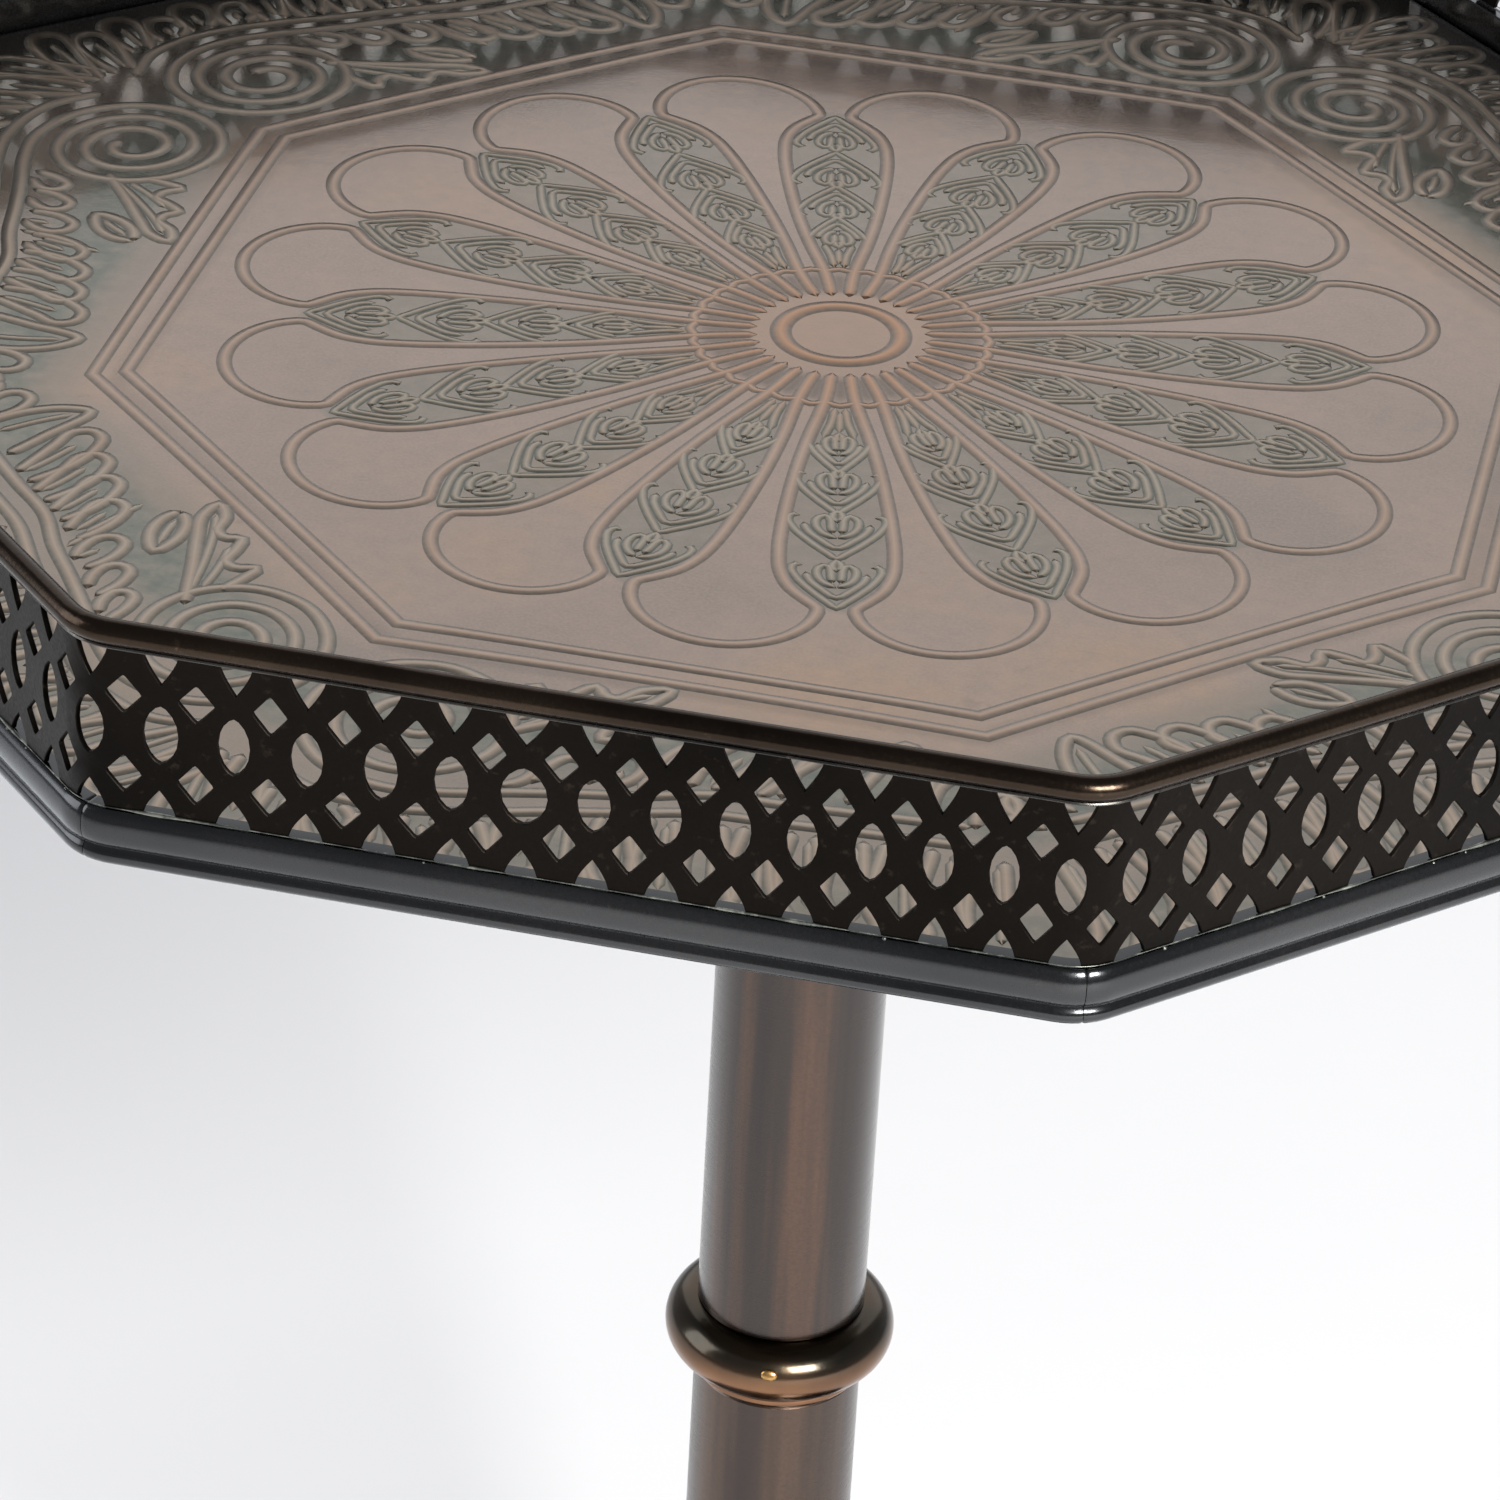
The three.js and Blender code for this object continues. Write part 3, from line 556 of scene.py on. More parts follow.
# %% The strip
ROUND_OVAL = rhomb(LOWER_KNOT, UPPER_KNOT, MIDDLE_KNOT)
ROUND_UPPER = rhomb(MIDDLE_KNOT, GALLERY_HEIGHT, UPPER_KNOT)
ROUND_LOWER = rhomb(0, MIDDLE_KNOT, LOWER_KNOT)
ROUND_TOP, ROUND_BOTTOM = wedge(1, GALLERY_HEIGHT, UPPER_KNOT), wedge(-1, 0, LOWER_KNOT)
PATCHES = [  # the points, and whether they go all round the hole
    (punched(oval_hole(), ROUND_OVAL, 0, OVAL_Z, OVAL_HALF, 0), True),
    (punched(diamond_hole(), ROUND_UPPER, 1, UPPER_DIAMOND_Z, DIAMOND_HALF, PITCH / 2), True),
    (punched(diamond_hole(), ROUND_LOWER, 2, LOWER_DIAMOND_Z, DIAMOND_HALF, PITCH / 2), True),
    (punched(notch_hole(1), ROUND_TOP, 3, GALLERY_HEIGHT, TOP_NOTCH, 0), False),
    (punched(notch_hole(-1), ROUND_BOTTOM, 4, 0, BOTTOM_NOTCH, 0), False),
]


def gallery_strip():
    """All patches as one skin: points that meet are merged, then the flat strip is bent round."""
    points, quads, ends, base = [], [], [], 0
    for patch, ring in PATCHES:
        rows, columns = patch.shape[1:3]
        starts = base + np.arange(OVALS)[:, None, None] * rows * columns
        quads.append((grid_quads(rows, columns, ring) + starts).reshape(-1, 4))
        if not ring:
            ends.append((end_faces(rows, columns) + starts).reshape(-1, columns))
        points.append(patch.reshape(-1, 3))
        base += OVALS * rows * columns
    points = np.vstack(points)
    points[:, 0] %= STRIP_LENGTH
    along_front = points[:, 0] * SIDES / STRIP_LENGTH
    points[:, 0] += np.where(along_front < 1, FRONT_DRIFT * PITCH * np.sin(math.pi * along_front), 0)
    points[:, 1] = np.clip(points[:, 1], 0, GALLERY_HEIGHT)
    key = np.round(points / ONE_POINT).astype(np.int64)
    key[:, 0] %= round(STRIP_LENGTH / ONE_POINT)
    _, chosen, number = np.unique(key, axis=0, return_index=True, return_inverse=True)
    number = number.ravel()
    x, y, nx, ny = octagon_walk(points[chosen, 0], GALLERY_FACE, CORNER_RADIUS)
    deep = points[chosen, 2]
    bent = np.stack([x + nx * deep, y + ny * deep, GALLERY_LOW[2] + points[chosen, 1]], -1)
    return bent, [number[np.vstack(quads)], number[np.vstack(ends)]]


strip_points, strip_faces = gallery_strip()
gallery = put_piece("gallery_strip", strip_points, strip_faces, "tray", "gallery_bronze",
                    GALLERY_FINISH, crease=28)
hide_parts(*[f"gallery_panel_{number}" for number in range(1, SIDES + 1)])

# %% [markdown]
# ## Rail and moulding
# The rail is a rolled bead with easy corners, and under it a thin folded lip grips the sheet. The
# moulding below is drawn stock in eight lengths, bent at the corners and butted there: a full round
# band over a thin one, with a shallow groove between. Rail and lip are oval sections carried all the
# way round the octagon. Each moulding length is the same idea over one side, with both ends closed.

# %% The rail and its lip
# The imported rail's section has eight flat sides; the round one goes through its corners.
RAIL_RADIUS = (RAIL_HIGH[2] - RAIL_LOW[2]) / 2 / math.cos(math.pi / 8)
RAIL_APOTHEM = RAIL_HIGH[0] - (RAIL_HIGH[2] - RAIL_LOW[2]) / 2
LIP_DROP, LIP_OUT, LIP_UP = 2.55, 0.95, 0.5


def put_rail_ring(name, half_out, half_up, height, sides, waver, finish):
    """An oval carried round the octagon: out = half_out cos a, up = height + half_up sin a, and a
    slow waver of a few hundredths of a millimetre, as hand-bent metal has."""
    a = np.linspace(0, 2 * math.pi, sides, endpoint=False)
    at = octagon_stations(RAIL_APOTHEM, CORNER_RADIUS, 14, 7)
    out = half_out * np.cos(a) + waver * (np.sin(at / 31) + 0.6 * np.sin(at / 11 + 1))[:, None]
    up = height + half_up * np.sin(a) + waver * np.sin(at / 23 + 2)[:, None]
    points = round_octagon(at, RAIL_APOTHEM, CORNER_RADIUS, out, up)
    return put_piece(name, points, [grid_quads(len(at), sides, True, True)], "tray", "moulding_bronze", finish)


rail = put_rail_ring("rolled_rail", RAIL_RADIUS, RAIL_RADIUS, RAIL_Z, 20, 0.05, RAIL_FINISH)
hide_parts("top_rail")
put_rail_ring("rail_lip", LIP_OUT, LIP_UP, RAIL_Z - LIP_DROP, 12, 0.04, LIP_CATCHLIGHT_FINISH)


# %% The moulding
RIM_CORNER = 12.0
RIM_GAP = 0.06  # from a length's end to the corner's middle
BAND_ROOT = GALLERY_FACE - 0.2
UPPER_BAND, LOWER_BAND = 1.75, 1.35  # how far each stands out of the root


def rim_outline():
    """(apothem, z) round the section: outside, two bands that are parts of ellipses, root + out cos t
    and middle + half (lift + share sin t); inside, a lip and the ledge that the floor lies on."""
    half = (RIM_HIGH[2] - RIM_LOW[2]) / 2
    middle = RIM_LOW[2] + half
    ledge, lip, seat = RIM_LOW[0], RIM_LOW[0] + 5, FLOOR_UNDER_Z - 0.2
    t = np.linspace(math.pi / 2, -math.pi * 0.37, 14)
    upper = np.stack([BAND_ROOT + UPPER_BAND * np.cos(t), middle + half * (0.3 + 0.68 * np.sin(t))], -1)
    t = np.linspace(math.pi * 0.3, -math.pi / 2, 9)
    lower = np.stack([BAND_ROOT + LOWER_BAND * np.cos(t), middle + half * (0.3 * np.sin(t) - 0.66)], -1)
    inside = [[GALLERY_FACE - 1.6, RIM_LOW[2]], [ledge, RIM_LOW[2]], [ledge, seat], [lip, seat],
              [lip, RIM_HIGH[2] - 0.3], [lip + 0.3, RIM_HIGH[2]]]
    return np.vstack([upper, lower, inside])


def moulding_length(section, number):
    """One length, from the middle of a rounded corner to the middle of the next: the section carried
    round the octagon. Its two end rings are drawn in slightly, so that the joint shows as a seam."""
    side = octagon_length(GALLERY_FACE, RIM_CORNER) / SIDES
    arc = RIM_CORNER * HALF_CORNER
    bend = np.linspace(RIM_GAP, arc, 7)
    start = np.concatenate([bend[:1], bend[:1] + 0.35, bend[1:]])
    at = np.concatenate([start, np.linspace(arc, side - arc, 10)[1:-1], side - start[::-1]])
    drawn = np.ones((len(at), 1, 1))
    drawn[[0, -1]] = 0.97
    middle = section.mean(0)
    rings = middle + (section - middle) * drawn
    out = rings[..., 0] - GALLERY_FACE
    return round_octagon(at + number * side, GALLERY_FACE, RIM_CORNER, out, rings[..., 1])


rim_section = rim_outline()
for number in range(1, SIDES + 1):
    bar = moulding_length(rim_section, number + 1)
    rows, columns = bar.shape[:2]
    skin = [grid_quads(rows, columns, False, True), end_faces(rows, columns)]
    piece = put_piece(f"moulding_length_{number}", bar, skin, "tray", "moulding_bronze",
                      MOULDING_FINISH, crease=40)
    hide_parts(f"rim_moulding_{number}")


# %% [markdown]
# Where the gallery stands on the moulding, a thin line of solder runs along the joint. It is grey and
# uneven, and small beads of it lie on the band below. The line is one ring whose thickness follows four
# sine waves that never fall into step. The beads are squashed balls of a few dozen faces each, since
# there are many, and all of them are one piece.

# %% Solder along the joint
SEAM_STEPS, SEAM_SIDES = 900, 6
seam_at = np.linspace(0, STRIP_LENGTH, SEAM_STEPS, endpoint=False)
wave = sum(np.sin(seam_at * k / 17 + k * k) for k in (1, 2.3, 4.1, 7.7)) / 4
thick = (0.12 + 0.5 * np.clip(wave - 0.1, 0, 1))[:, None]
around = np.linspace(0, 2 * math.pi, SEAM_SIDES, endpoint=False)
seam_up = GALLERY_LOW[2] + 0.02 + 0.8 * thick * np.sin(around)
seam = round_octagon(seam_at, GALLERY_FACE, CORNER_RADIUS, 0.12 + thick * np.cos(around), seam_up)
put_piece("solder_seam", seam, [grid_quads(SEAM_STEPS, SEAM_SIDES, True, True)], "tray",
          "moulding_bronze", SOLDER_FINISH, crease=80)

# %% Beads of solder
BEADS, BEAD_RINGS, BEAD_STEPS, BEAD_TILT = 110, 5, 8, 0.7


def solder_beads():
    """(bead, ring, step) points and faces. Each bead is side = cos u cos v, high = cos u sin v and
    out = 0.6 sin u, times its size, then tilted to lie on the band's shoulder."""
    at = np.sort(random.uniform(0, STRIP_LENGTH, BEADS))
    below = random.uniform(0.2, 1.0, BEADS)[:, None, None]
    size = random.uniform(0.16, 0.42, BEADS)[:, None, None]
    x, y, nx, ny = (v[:, None, None] for v in octagon_walk(at, GALLERY_FACE + 0.25, CORNER_RADIUS))
    u = np.linspace(-1.25, 1.25, BEAD_RINGS)[:, None]
    v = np.linspace(0, 2 * math.pi, BEAD_STEPS, endpoint=False)
    side, high, flat = size * np.cos(u) * np.cos(v), size * np.cos(u) * np.sin(v), size * 0.6 * np.sin(u)
    out = flat * math.cos(BEAD_TILT) - high * math.sin(BEAD_TILT)
    up = GALLERY_LOW[2] - below + flat * math.sin(BEAD_TILT) + high * math.cos(BEAD_TILT)
    points = np.stack([x + nx * out - ny * side, y + ny * out + nx * side, up], -1)
    starts = np.arange(BEADS)[:, None, None] * BEAD_RINGS * BEAD_STEPS
    quads = (grid_quads(BEAD_RINGS, BEAD_STEPS, False, True) + starts).reshape(-1, 4)
    return points, [quads, (end_faces(BEAD_RINGS, BEAD_STEPS) + starts).reshape(-1, BEAD_STEPS)]


put_piece("solder_beads", *solder_beads(), "tray", "moulding_bronze", SOLDER_FINISH, crease=80)

# %% [markdown]
# ## The embossed tray
# The relief is pressed up in the sheet: rounded lines about half a millimetre high, bright on top and
# dark along both sides. In colour the top is rubbed metal with a painted highlight, and the sides are
# patina with painted shade. Each line is a path on the floor with one small section carried along it.
# Its outermost points lie just under the sheet, so it grows out of the metal, and its points carry how
# far up the crest they are and how deep in the painted shade at the edge, for the finish to use. The
# floor itself is a grid of octagon rings with a very slight waviness, as rolled sheet has, which the
# relief follows.

# %% The sheet's waviness and the petal's shape
MEDALLION_CENTRE, MEDALLION_TURN, MEDALLION_SIZE = np.array([-2.0, 7.9]), math.radians(0.74), 1.035
PATTERN_SHIFT = np.array([-1.5, 6.2])
PETAL_R = np.array([15.5, 25, 40, 50, 60, 70, 80, 86, 92, 96.2, 98.4])
PETAL_HALF = np.array([1.6, 2.6, 5.6, 7.3, 8.6, 9.6, 10.1, 9.8, 8.0, 5.0, 3.3])
PETALS = 16
PETAL_STEP = 2 * math.pi / PETALS
BORDER_OUT, BORDER_WIDTH = 198.0, 66.0
LINE_IN, LINE_OUT = 125.7, 131.5


def sheet_height(x, y):
    """Height of the sheet above its nominal top: three crossed waves of under a tenth of a millimetre."""
    wide, slanted, fine = np.sin(x / 31 + 1) * np.cos(y / 37), np.sin((x + y) / 23), np.sin((x - 2 * y) / 41)
    return 0.07 * wide + 0.05 * slanted + 0.04 * fine


def turned_line(line, angle, centre=(0, 0)):
    """A line of (x, y) turned about the origin, then moved."""
    c, s = math.cos(angle), math.sin(angle)
    return line @ np.array([[c, s], [-s, c]]) + np.asarray(centre)


def unevenness(points):
    """How far the maker's rosette strays: the ring sits back by a bell curve of 2.5 mm, and the petals
    over the right of the back are up to 6 mm short, eased in by a straight ramp and a tanh."""
    x, y = points[:, 0], points[:, 1]
    short = 6.0 * np.clip((y - 20) / 90, 0, 1) * (0.5 + 0.5 * np.tanh((x + 50) / 30))
    return np.stack([0 * x, 2.5 * np.exp(-((x**2 + y**2) / 45**2)) - short], -1)


def shifted(points):
    """The pattern stands a little towards the back: a whole shift inside, easing to none at the rim."""
    radius = np.hypot(points[..., 0], points[..., 1])
    share = np.clip((BORDER_OUT - radius) / BORDER_WIDTH, 0, 1)[..., None]
    return points + PATTERN_SHIFT * share


# %% A raised line
ACROSS = np.array([-1.45, -0.98, -0.5, 0, 0.5, 0.98, 1.45])
UP = np.array([-0.1, 0.05, 0.34, 0.5, 0.34, 0.05, -0.1])
# Across the section: the crest is pale, rubbed metal with a painted highlight; the feet are dark, patina with painted
# shade.
CREST = np.array([0, 0.1, 0.7, 0.9, 0.7, 0.1, 0])
SHADE = np.array([0.1, 0.8, 0.35, 0, 0.35, 0.8, 0.1])


def raised(line, breadth=1.0, height=1.0, closed=False, ease=1.8):
    """(points along, 7, 3): the section set square to the line; open ends shrink to a round tip."""
    ahead, behind = np.roll(line, -1, 0), np.roll(line, 1, 0)
    if not closed:
        ahead[-1], behind[0] = line[-1], line[0]
    way = ahead - behind
    way = way / np.linalg.norm(way, axis=1)[:, None]
    size = np.ones((len(line), 1))
    if not closed:
        along = np.concatenate([[0], np.cumsum(np.linalg.norm(np.diff(line, axis=0), axis=1))])
        near = np.minimum(along, along[-1] - along)[:, None]
        size = np.sqrt(np.clip(near / ease, 0.006, 1))
    out = ACROSS[None] * breadth * size
    x = line[:, None, 0] - way[:, None, 1] * out
    y = line[:, None, 1] + way[:, None, 0] * out
    z = FLOOR_Z + sheet_height(x, y) + UP[None] * height * size
    return np.stack([x, y, z], -1), closed


def centre_warmth(x, y):
    """Where hands have rubbed the middle warm: 1 at the rosette's centre, easing to 0 past its ring."""
    return np.exp(-((np.hypot(x - MEDALLION_CENTRE[0], y - MEDALLION_CENTRE[1]) / 31) ** 4))


def put_relief(name, lines, green):
    """One piece from many raised lines; green is how deep in verdigris each one lies."""
    points, quads, caps, base = [], [], [], 0
    for line, closed in lines:
        count = len(line)
        quads.append(grid_quads(count, 7, closed, True) + base)
        if not closed:
            caps.append(end_faces(count, 7) + base)
        points.append(line.reshape(-1, 3))
        base += count * 7
    points = np.vstack(points)
    repeat = len(points) // 7
    values = {
        "crest": np.tile(CREST, repeat), "shade": np.tile(SHADE, repeat),
        "green": np.full(len(points), green), "warm": centre_warmth(points[:, 0], points[:, 1]),
    }
    faces = [np.vstack(quads)] + ([np.vstack(caps)] if caps else [])
    return put_piece(name, points, faces, "tray", "tray_floor_bronze", RELIEF_FINISH, values, crease=80)


# %% The floor sheet
def on_medallion(x, y):
    """Points of the tray in the medallion's own even drawing."""
    flat = np.stack([x.ravel(), y.ravel()], -1)
    return turned_line(flat - MEDALLION_CENTRE - unevenness(flat), -MEDALLION_TURN) / MEDALLION_SIZE


def petal_share(x, y):
    """1 inside a petal and 0 outside: the distance from the petal's middle line against its width."""
    centre = on_medallion(x, y)
    radius = np.hypot(*centre.T)
    angle = np.arctan2(centre[:, 1], centre[:, 0])
    off = angle % PETAL_STEP - PETAL_STEP / 2
    side = radius * np.abs(np.sin(off))
    along = radius * np.cos(off)
    inside = np.clip((np.interp(along, PETAL_R, PETAL_HALF) - side + 0.4) / 0.8, 0, 1)
    return (inside * np.clip((along - 27) / 3, 0, 1) * (along < 99.5)).reshape(x.shape)


def slot_shade_share(x, y):
    """1 in the slots between the spokes round the centre ring, where painted shade darkens the floor."""
    centre = on_medallion(x, y)
    radius, angle = np.hypot(*centre.T), np.arctan2(centre[:, 1], centre[:, 0])
    between = 0.5 + 0.5 * np.cos(2 * PETALS * angle)
    inside = np.clip((radius - 17) / 1.5, 0, 1) * np.clip((26.5 - radius) / 1.5, 0, 1)
    return (inside * between).reshape(x.shape)


def octagon_grid(apothems, per_side):
    """(rings, points, 2): rings of sharp octagons, each side evenly divided."""
    v = np.linspace(-1, 1, per_side, endpoint=False)
    facing = (np.arange(SIDES) * 2 * HALF_CORNER)[:, None]
    x = np.cos(facing) - v * math.tan(HALF_CORNER) * np.sin(facing)
    y = np.sin(facing) + v * math.tan(HALF_CORNER) * np.cos(facing)
    one = np.stack([x.ravel(), y.ravel()], -1)
    return np.asarray(apothems, float)[:, None, None] * one


top = octagon_grid(np.concatenate([[0.8], np.linspace(2.5, FLOOR_APOTHEM - 0.4, 118)]), 40)
under = octagon_grid([FLOOR_APOTHEM, FLOOR_APOTHEM, FLOOR_APOTHEM - 0.5, 150, 75, 0.8], 40)
top_z = FLOOR_Z + sheet_height(top[..., 0], top[..., 1])
under_z = np.array([FLOOR_Z - 0.3, FLOOR_UNDER_Z + 0.2] + [FLOOR_UNDER_Z] * 4)
floor_rings = np.concatenate([
    np.concatenate([top, top_z[..., None]], -1),
    np.concatenate([under, np.broadcast_to(under_z[:, None, None], (*under.shape[:2], 1))], -1),
])
rings, per_ring = floor_rings.shape[:2]
apothem_of = np.concatenate([np.concatenate([[0.8], np.linspace(2.5, FLOOR_APOTHEM - 0.4, 118)]), np.full(6, 0.0)])
border = np.clip((apothem_of - LINE_OUT) / 5, 0, 1)
flat_x, flat_y = floor_rings[..., 0], floor_rings[..., 1]
on_top = (np.arange(rings) < len(top))[:, None]
leafy = 0.35 + 0.6 * np.exp(-(((apothem_of - 150) / 9) ** 4)) + 0.4 * np.exp(-(((apothem_of - 185) / 8) ** 4))
green = np.maximum(0.5 * petal_share(flat_x, flat_y), (leafy * border)[:, None]) * on_top
# Painted shade on the floor: a band between the two frame lines, a rim along the foot of the gallery and the slots
# between the spokes round the centre ring.
between_lines_painted_shade = np.exp(-(((apothem_of - 127.2) / 2.4) ** 4))[:, None] * on_top
gallery_foot_painted_shade = np.clip((apothem_of - 192) / 8, 0, 1)[:, None] * on_top
shade = np.clip(0.6 * slot_shade_share(flat_x, flat_y) * on_top + 0.22 * between_lines_painted_shade + 0.5 * gallery_foot_painted_shade, 0, 1)
# The underside is painted dark all over, as painted shade under the tray.
shade = np.where(on_top, shade, 0.85)
quads = grid_quads(rings, per_ring, False, True)
floor_values = {"green": green, "shade": shade, "warm": centre_warmth(flat_x, flat_y)}
floor_sheet = put_piece("tray_sheet", floor_rings, [quads, end_faces(rings, per_ring)], "tray",
                        "tray_floor_bronze", TRAY_FINISH, floor_values, crease=40)
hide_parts("tray_floor")

# %% [markdown]
# ### The medallion
# Sixteen plain lobes stand round the middle with a leafy petal between each two. One raised line goes
# from the centre along a petal, turns sharply at its tip, bows out round a lobe and comes back along
# the next petal. So one such line, turned sixteen times, draws the whole rosette.

# %% The medallion's main lines
def lobe_line():
    """Out along one petal's side, round an ellipse of half-axes 15.6 and 16.3 about 98.2, and back."""
    side = turned_line(np.stack([PETAL_R, -PETAL_HALF], -1), PETAL_STEP / 2)
    arc = np.radians([80, 62, 42, 21, 0])
    bow = np.stack([98.2 + 15.6 * np.cos(arc), 16.3 * np.sin(arc)], -1)
    half = np.vstack([side, bow])
    return through(np.vstack([half, half[-2::-1] * [1, -1]]), 1.5)


def about_medallion(line, turns):
    """Copies of a line about the medallion's centre."""
    even = [turned_line(line * MEDALLION_SIZE, turn + MEDALLION_TURN, MEDALLION_CENTRE) for turn in turns]
    return [copy + unevenness(copy) for copy in even]


lobe_turns = [-math.pi / 2 + PETAL_STEP * k for k in range(PETALS)]
petal_turns = [turn + PETAL_STEP / 2 for turn in lobe_turns]
circle = np.linspace(0, 2 * math.pi, 160, endpoint=False)
rosette = [raised(line, 1.35, 0.62) for line in about_medallion(lobe_line(), lobe_turns)]
inner_ring = 11.2 * np.stack([np.cos(circle[::2]), np.sin(circle[::2])], -1)
scalloped = (27.4 + 0.45 * np.cos(32 * circle))[:, None] * np.stack([np.cos(circle), np.sin(circle)], -1)
rosette += [raised(about_medallion(inner_ring, [0])[0], 1.9, 0.8, True)]
rosette += [raised(about_medallion(scalloped, [0])[0], 1.0, 0.5, True)]
put_relief("medallion_lines", rosette, 0.0)

# %% [markdown]
# Each petal holds four leaf sprigs, one above the other, that open towards the centre: a calyx of two
# arms that flare to the petal's walls, a smaller leaf inside it, and a crown of three buds. A sprig is
# a few short lines in its own coordinates, scaled to the petal's width at that place.

# %% The petals' sprigs
SPRIG = [  # (distance inwards from the tip, sideways), for one side or across the middle
    [(14.6, -6.2), (14.9, -7.6), (13.2, -8.2), (10.2, -7.3), (5.4, -4.4), (1.6, -1.4), (0, 0),
     (1.6, 1.4), (5.4, 4.4), (10.2, 7.3), (13.2, 8.2), (14.9, 7.6), (14.6, 6.2)],
    [(12.4, -5.6), (9.6, -5.0), (6.2, -2.7), (3.6, 0), (6.2, 2.7), (9.6, 5.0), (12.4, 5.6)],
    [(7.0, 0), (9.0, -2.6), (11.6, -3.6), (14.0, -3.2), (14.9, -1.9), (13.3, -1.1), (11.2, -1.0), (8.6, -0.7)],
    [(7.0, 0), (9.0, 2.6), (11.6, 3.6), (14.0, 3.2), (14.9, 1.9), (13.3, 1.1), (11.2, 1.0), (8.6, 0.7)],
    [(12.2, 0), (14.6, -0.9), (16.4, 0), (14.6, 0.9), (12.4, 0.2)],
]
SPRIG_TIPS = [(98.2, 0.98, 0.96), (81.4, 1.0, 1.06), (65.8, 0.93, 0.92), (51.6, 0.84, 0.7)]
STALKS = [[(28.5, -0.9), (34, -1.5), (39.5, -2.9)], [(28.5, 0.9), (34, 1.5), (39.5, 2.9)], [(30, 0), (37.5, 0)]]


def petal_lines():
    """Lines of one petal along +X: (radius, sideways)."""
    lines = []
    for tip, long, wide in SPRIG_TIPS:
        for stroke in SPRIG:
            stroke = np.array(stroke)
            local = np.stack([tip - stroke[:, 0] * long, stroke[:, 1] * wide], -1)
            lines.append(through(local, 1.15))
    return lines + [through(np.array(line, float), 1.6) for line in STALKS]


petal = petal_lines()
for half, turns in (("front", petal_turns[12:] + petal_turns[:4]), ("back", petal_turns[4:12])):
    lines = [raised(line, 0.9, 0.5, ease=1.1) for one in petal for line in about_medallion(one, turns)]
    put_relief(f"petal_sprigs_{half}", lines, 0.85)


# %% [markdown]
# ### The octagon lines and the leafy border
# Two straight raised lines frame the medallion. Outside them runs a border of acanthus scrolls. One
# drawing fills one side: a stem that winds into a three-turn volute, a three-pointed leaf, a bud, and
# rows of finger-like fronds. Neighbouring sides take it as mirror images, so that volutes meet volutes
# at one corner and leaves meet leaves at the next.

# %% The frame lines
def frame_line(apothem, breadth, height):
    """The section at apothem + across on every point of an octagon, so that the corners stay sharp."""
    rings = shifted(octagon_grid(apothem + ACROSS * breadth, 10))
    z = FLOOR_Z + sheet_height(rings[..., 0], rings[..., 1]) + (UP * height)[:, None]
    return np.concatenate([rings, z[..., None]], -1).transpose(1, 0, 2), True


put_relief("frame_lines", [frame_line(LINE_IN, 1.35, 0.62), frame_line(LINE_OUT, 1.35, 0.62)], 0.05)


# %% The border's drawing
def volute(centre, start, end, turns, first_angle):
    """A spiral whose radius falls evenly from start to end as it turns clockwise."""
    t = np.linspace(0, 1, round(turns * 10))
    angle = first_angle - 2 * math.pi * turns * t
    radius = start + (end - start) * t
    return np.stack([centre[0] + radius * np.cos(angle), centre[1] + radius * np.sin(angle)], -1)


def finger(tip, foot, width, lean=0.0):
    """A narrow arch that stands on the line d = foot, with its round end at tip."""
    (s, d), w = tip, width / 2
    up = 1 if foot > d else -1
    return [(s - w * 0.5 + lean, foot), (s - w * 1.05 + lean * 0.4, d + up * w * 2.2), (s - w * 1.0 - lean * 0.1, d + up * w * 0.9),
            (s - w * 0.45 - lean * 0.2, d + up * w * 0.1), (s + w * 0.4 - lean * 0.2, d), (s + w * 1.0 - lean * 0.05, d + up * w * 0.8),
            (s + w * 1.05 + lean * 0.4, d + up * w * 2.2), (s + w * 0.6 + lean, foot)]


STEM = [(-57, 157.5), (-40, 159.2), (-25, 160.5), (-12.7, 161.2), (-2, 164.7), (8.5, 167), (20, 169.8), (31, 172.8)]
OUTER_STEM = [(-60, 163), (-40, 164.6), (-25, 166), (-12, 167), (0, 170.4), (12, 173.4), (26, 177.4), (41, 179.6),
              (56, 175.6), (64, 167)]
MAIN = [
    np.vstack([STEM, volute((41, 153.2), 20.6, 3.2, 3.1, math.pi / 2)]),
    OUTER_STEM,
    [(27.5, 154), (16.6, 146.4), (8.8, 141.4), (2.6, 136.8), (0.7, 132.6), (5.2, 133.6), (9.6, 137.6), (11.4, 137.2),
     (13.4, 134.8), (16.4, 137.6), (19.2, 141.2), (21.4, 140.4), (23.7, 137.2), (25.6, 141.6), (26.8, 147)],
    [(-1, 139.6), (0.0, 144), (3.4, 148.2), (9, 150.2), (7.9, 145.6), (4.2, 141.2), (-0.6, 139.4)],
    finger((3.2, 153.4), 164.0, 6.4, 2.6),
    finger((12.2, 157.0), 166.4, 5.8, 3.2),
    finger((20.4, 160.4), 168.6, 5.2, 3.4),
    finger((-7.6, 147.5), 160.8, 6.8, 4.0),
    finger((-15.6, 144.5), 160.2, 7.0, 4.6),
    finger((-23.8, 142.5), 159.8, 7.2, 5.0),
    finger((-32.2, 139.6), 159.0, 7.8, 5.4),
    [(-35.5, 157.5), (-38.0, 148.5), (-42.3, 137), (-45.4, 140.2), (-48.0, 146.5), (-48.6, 156)],
    finger((-53.2, 144), 156, 6.4, 1.6),
    finger((-60.6, 147), 158, 5.6, 1.2),
]
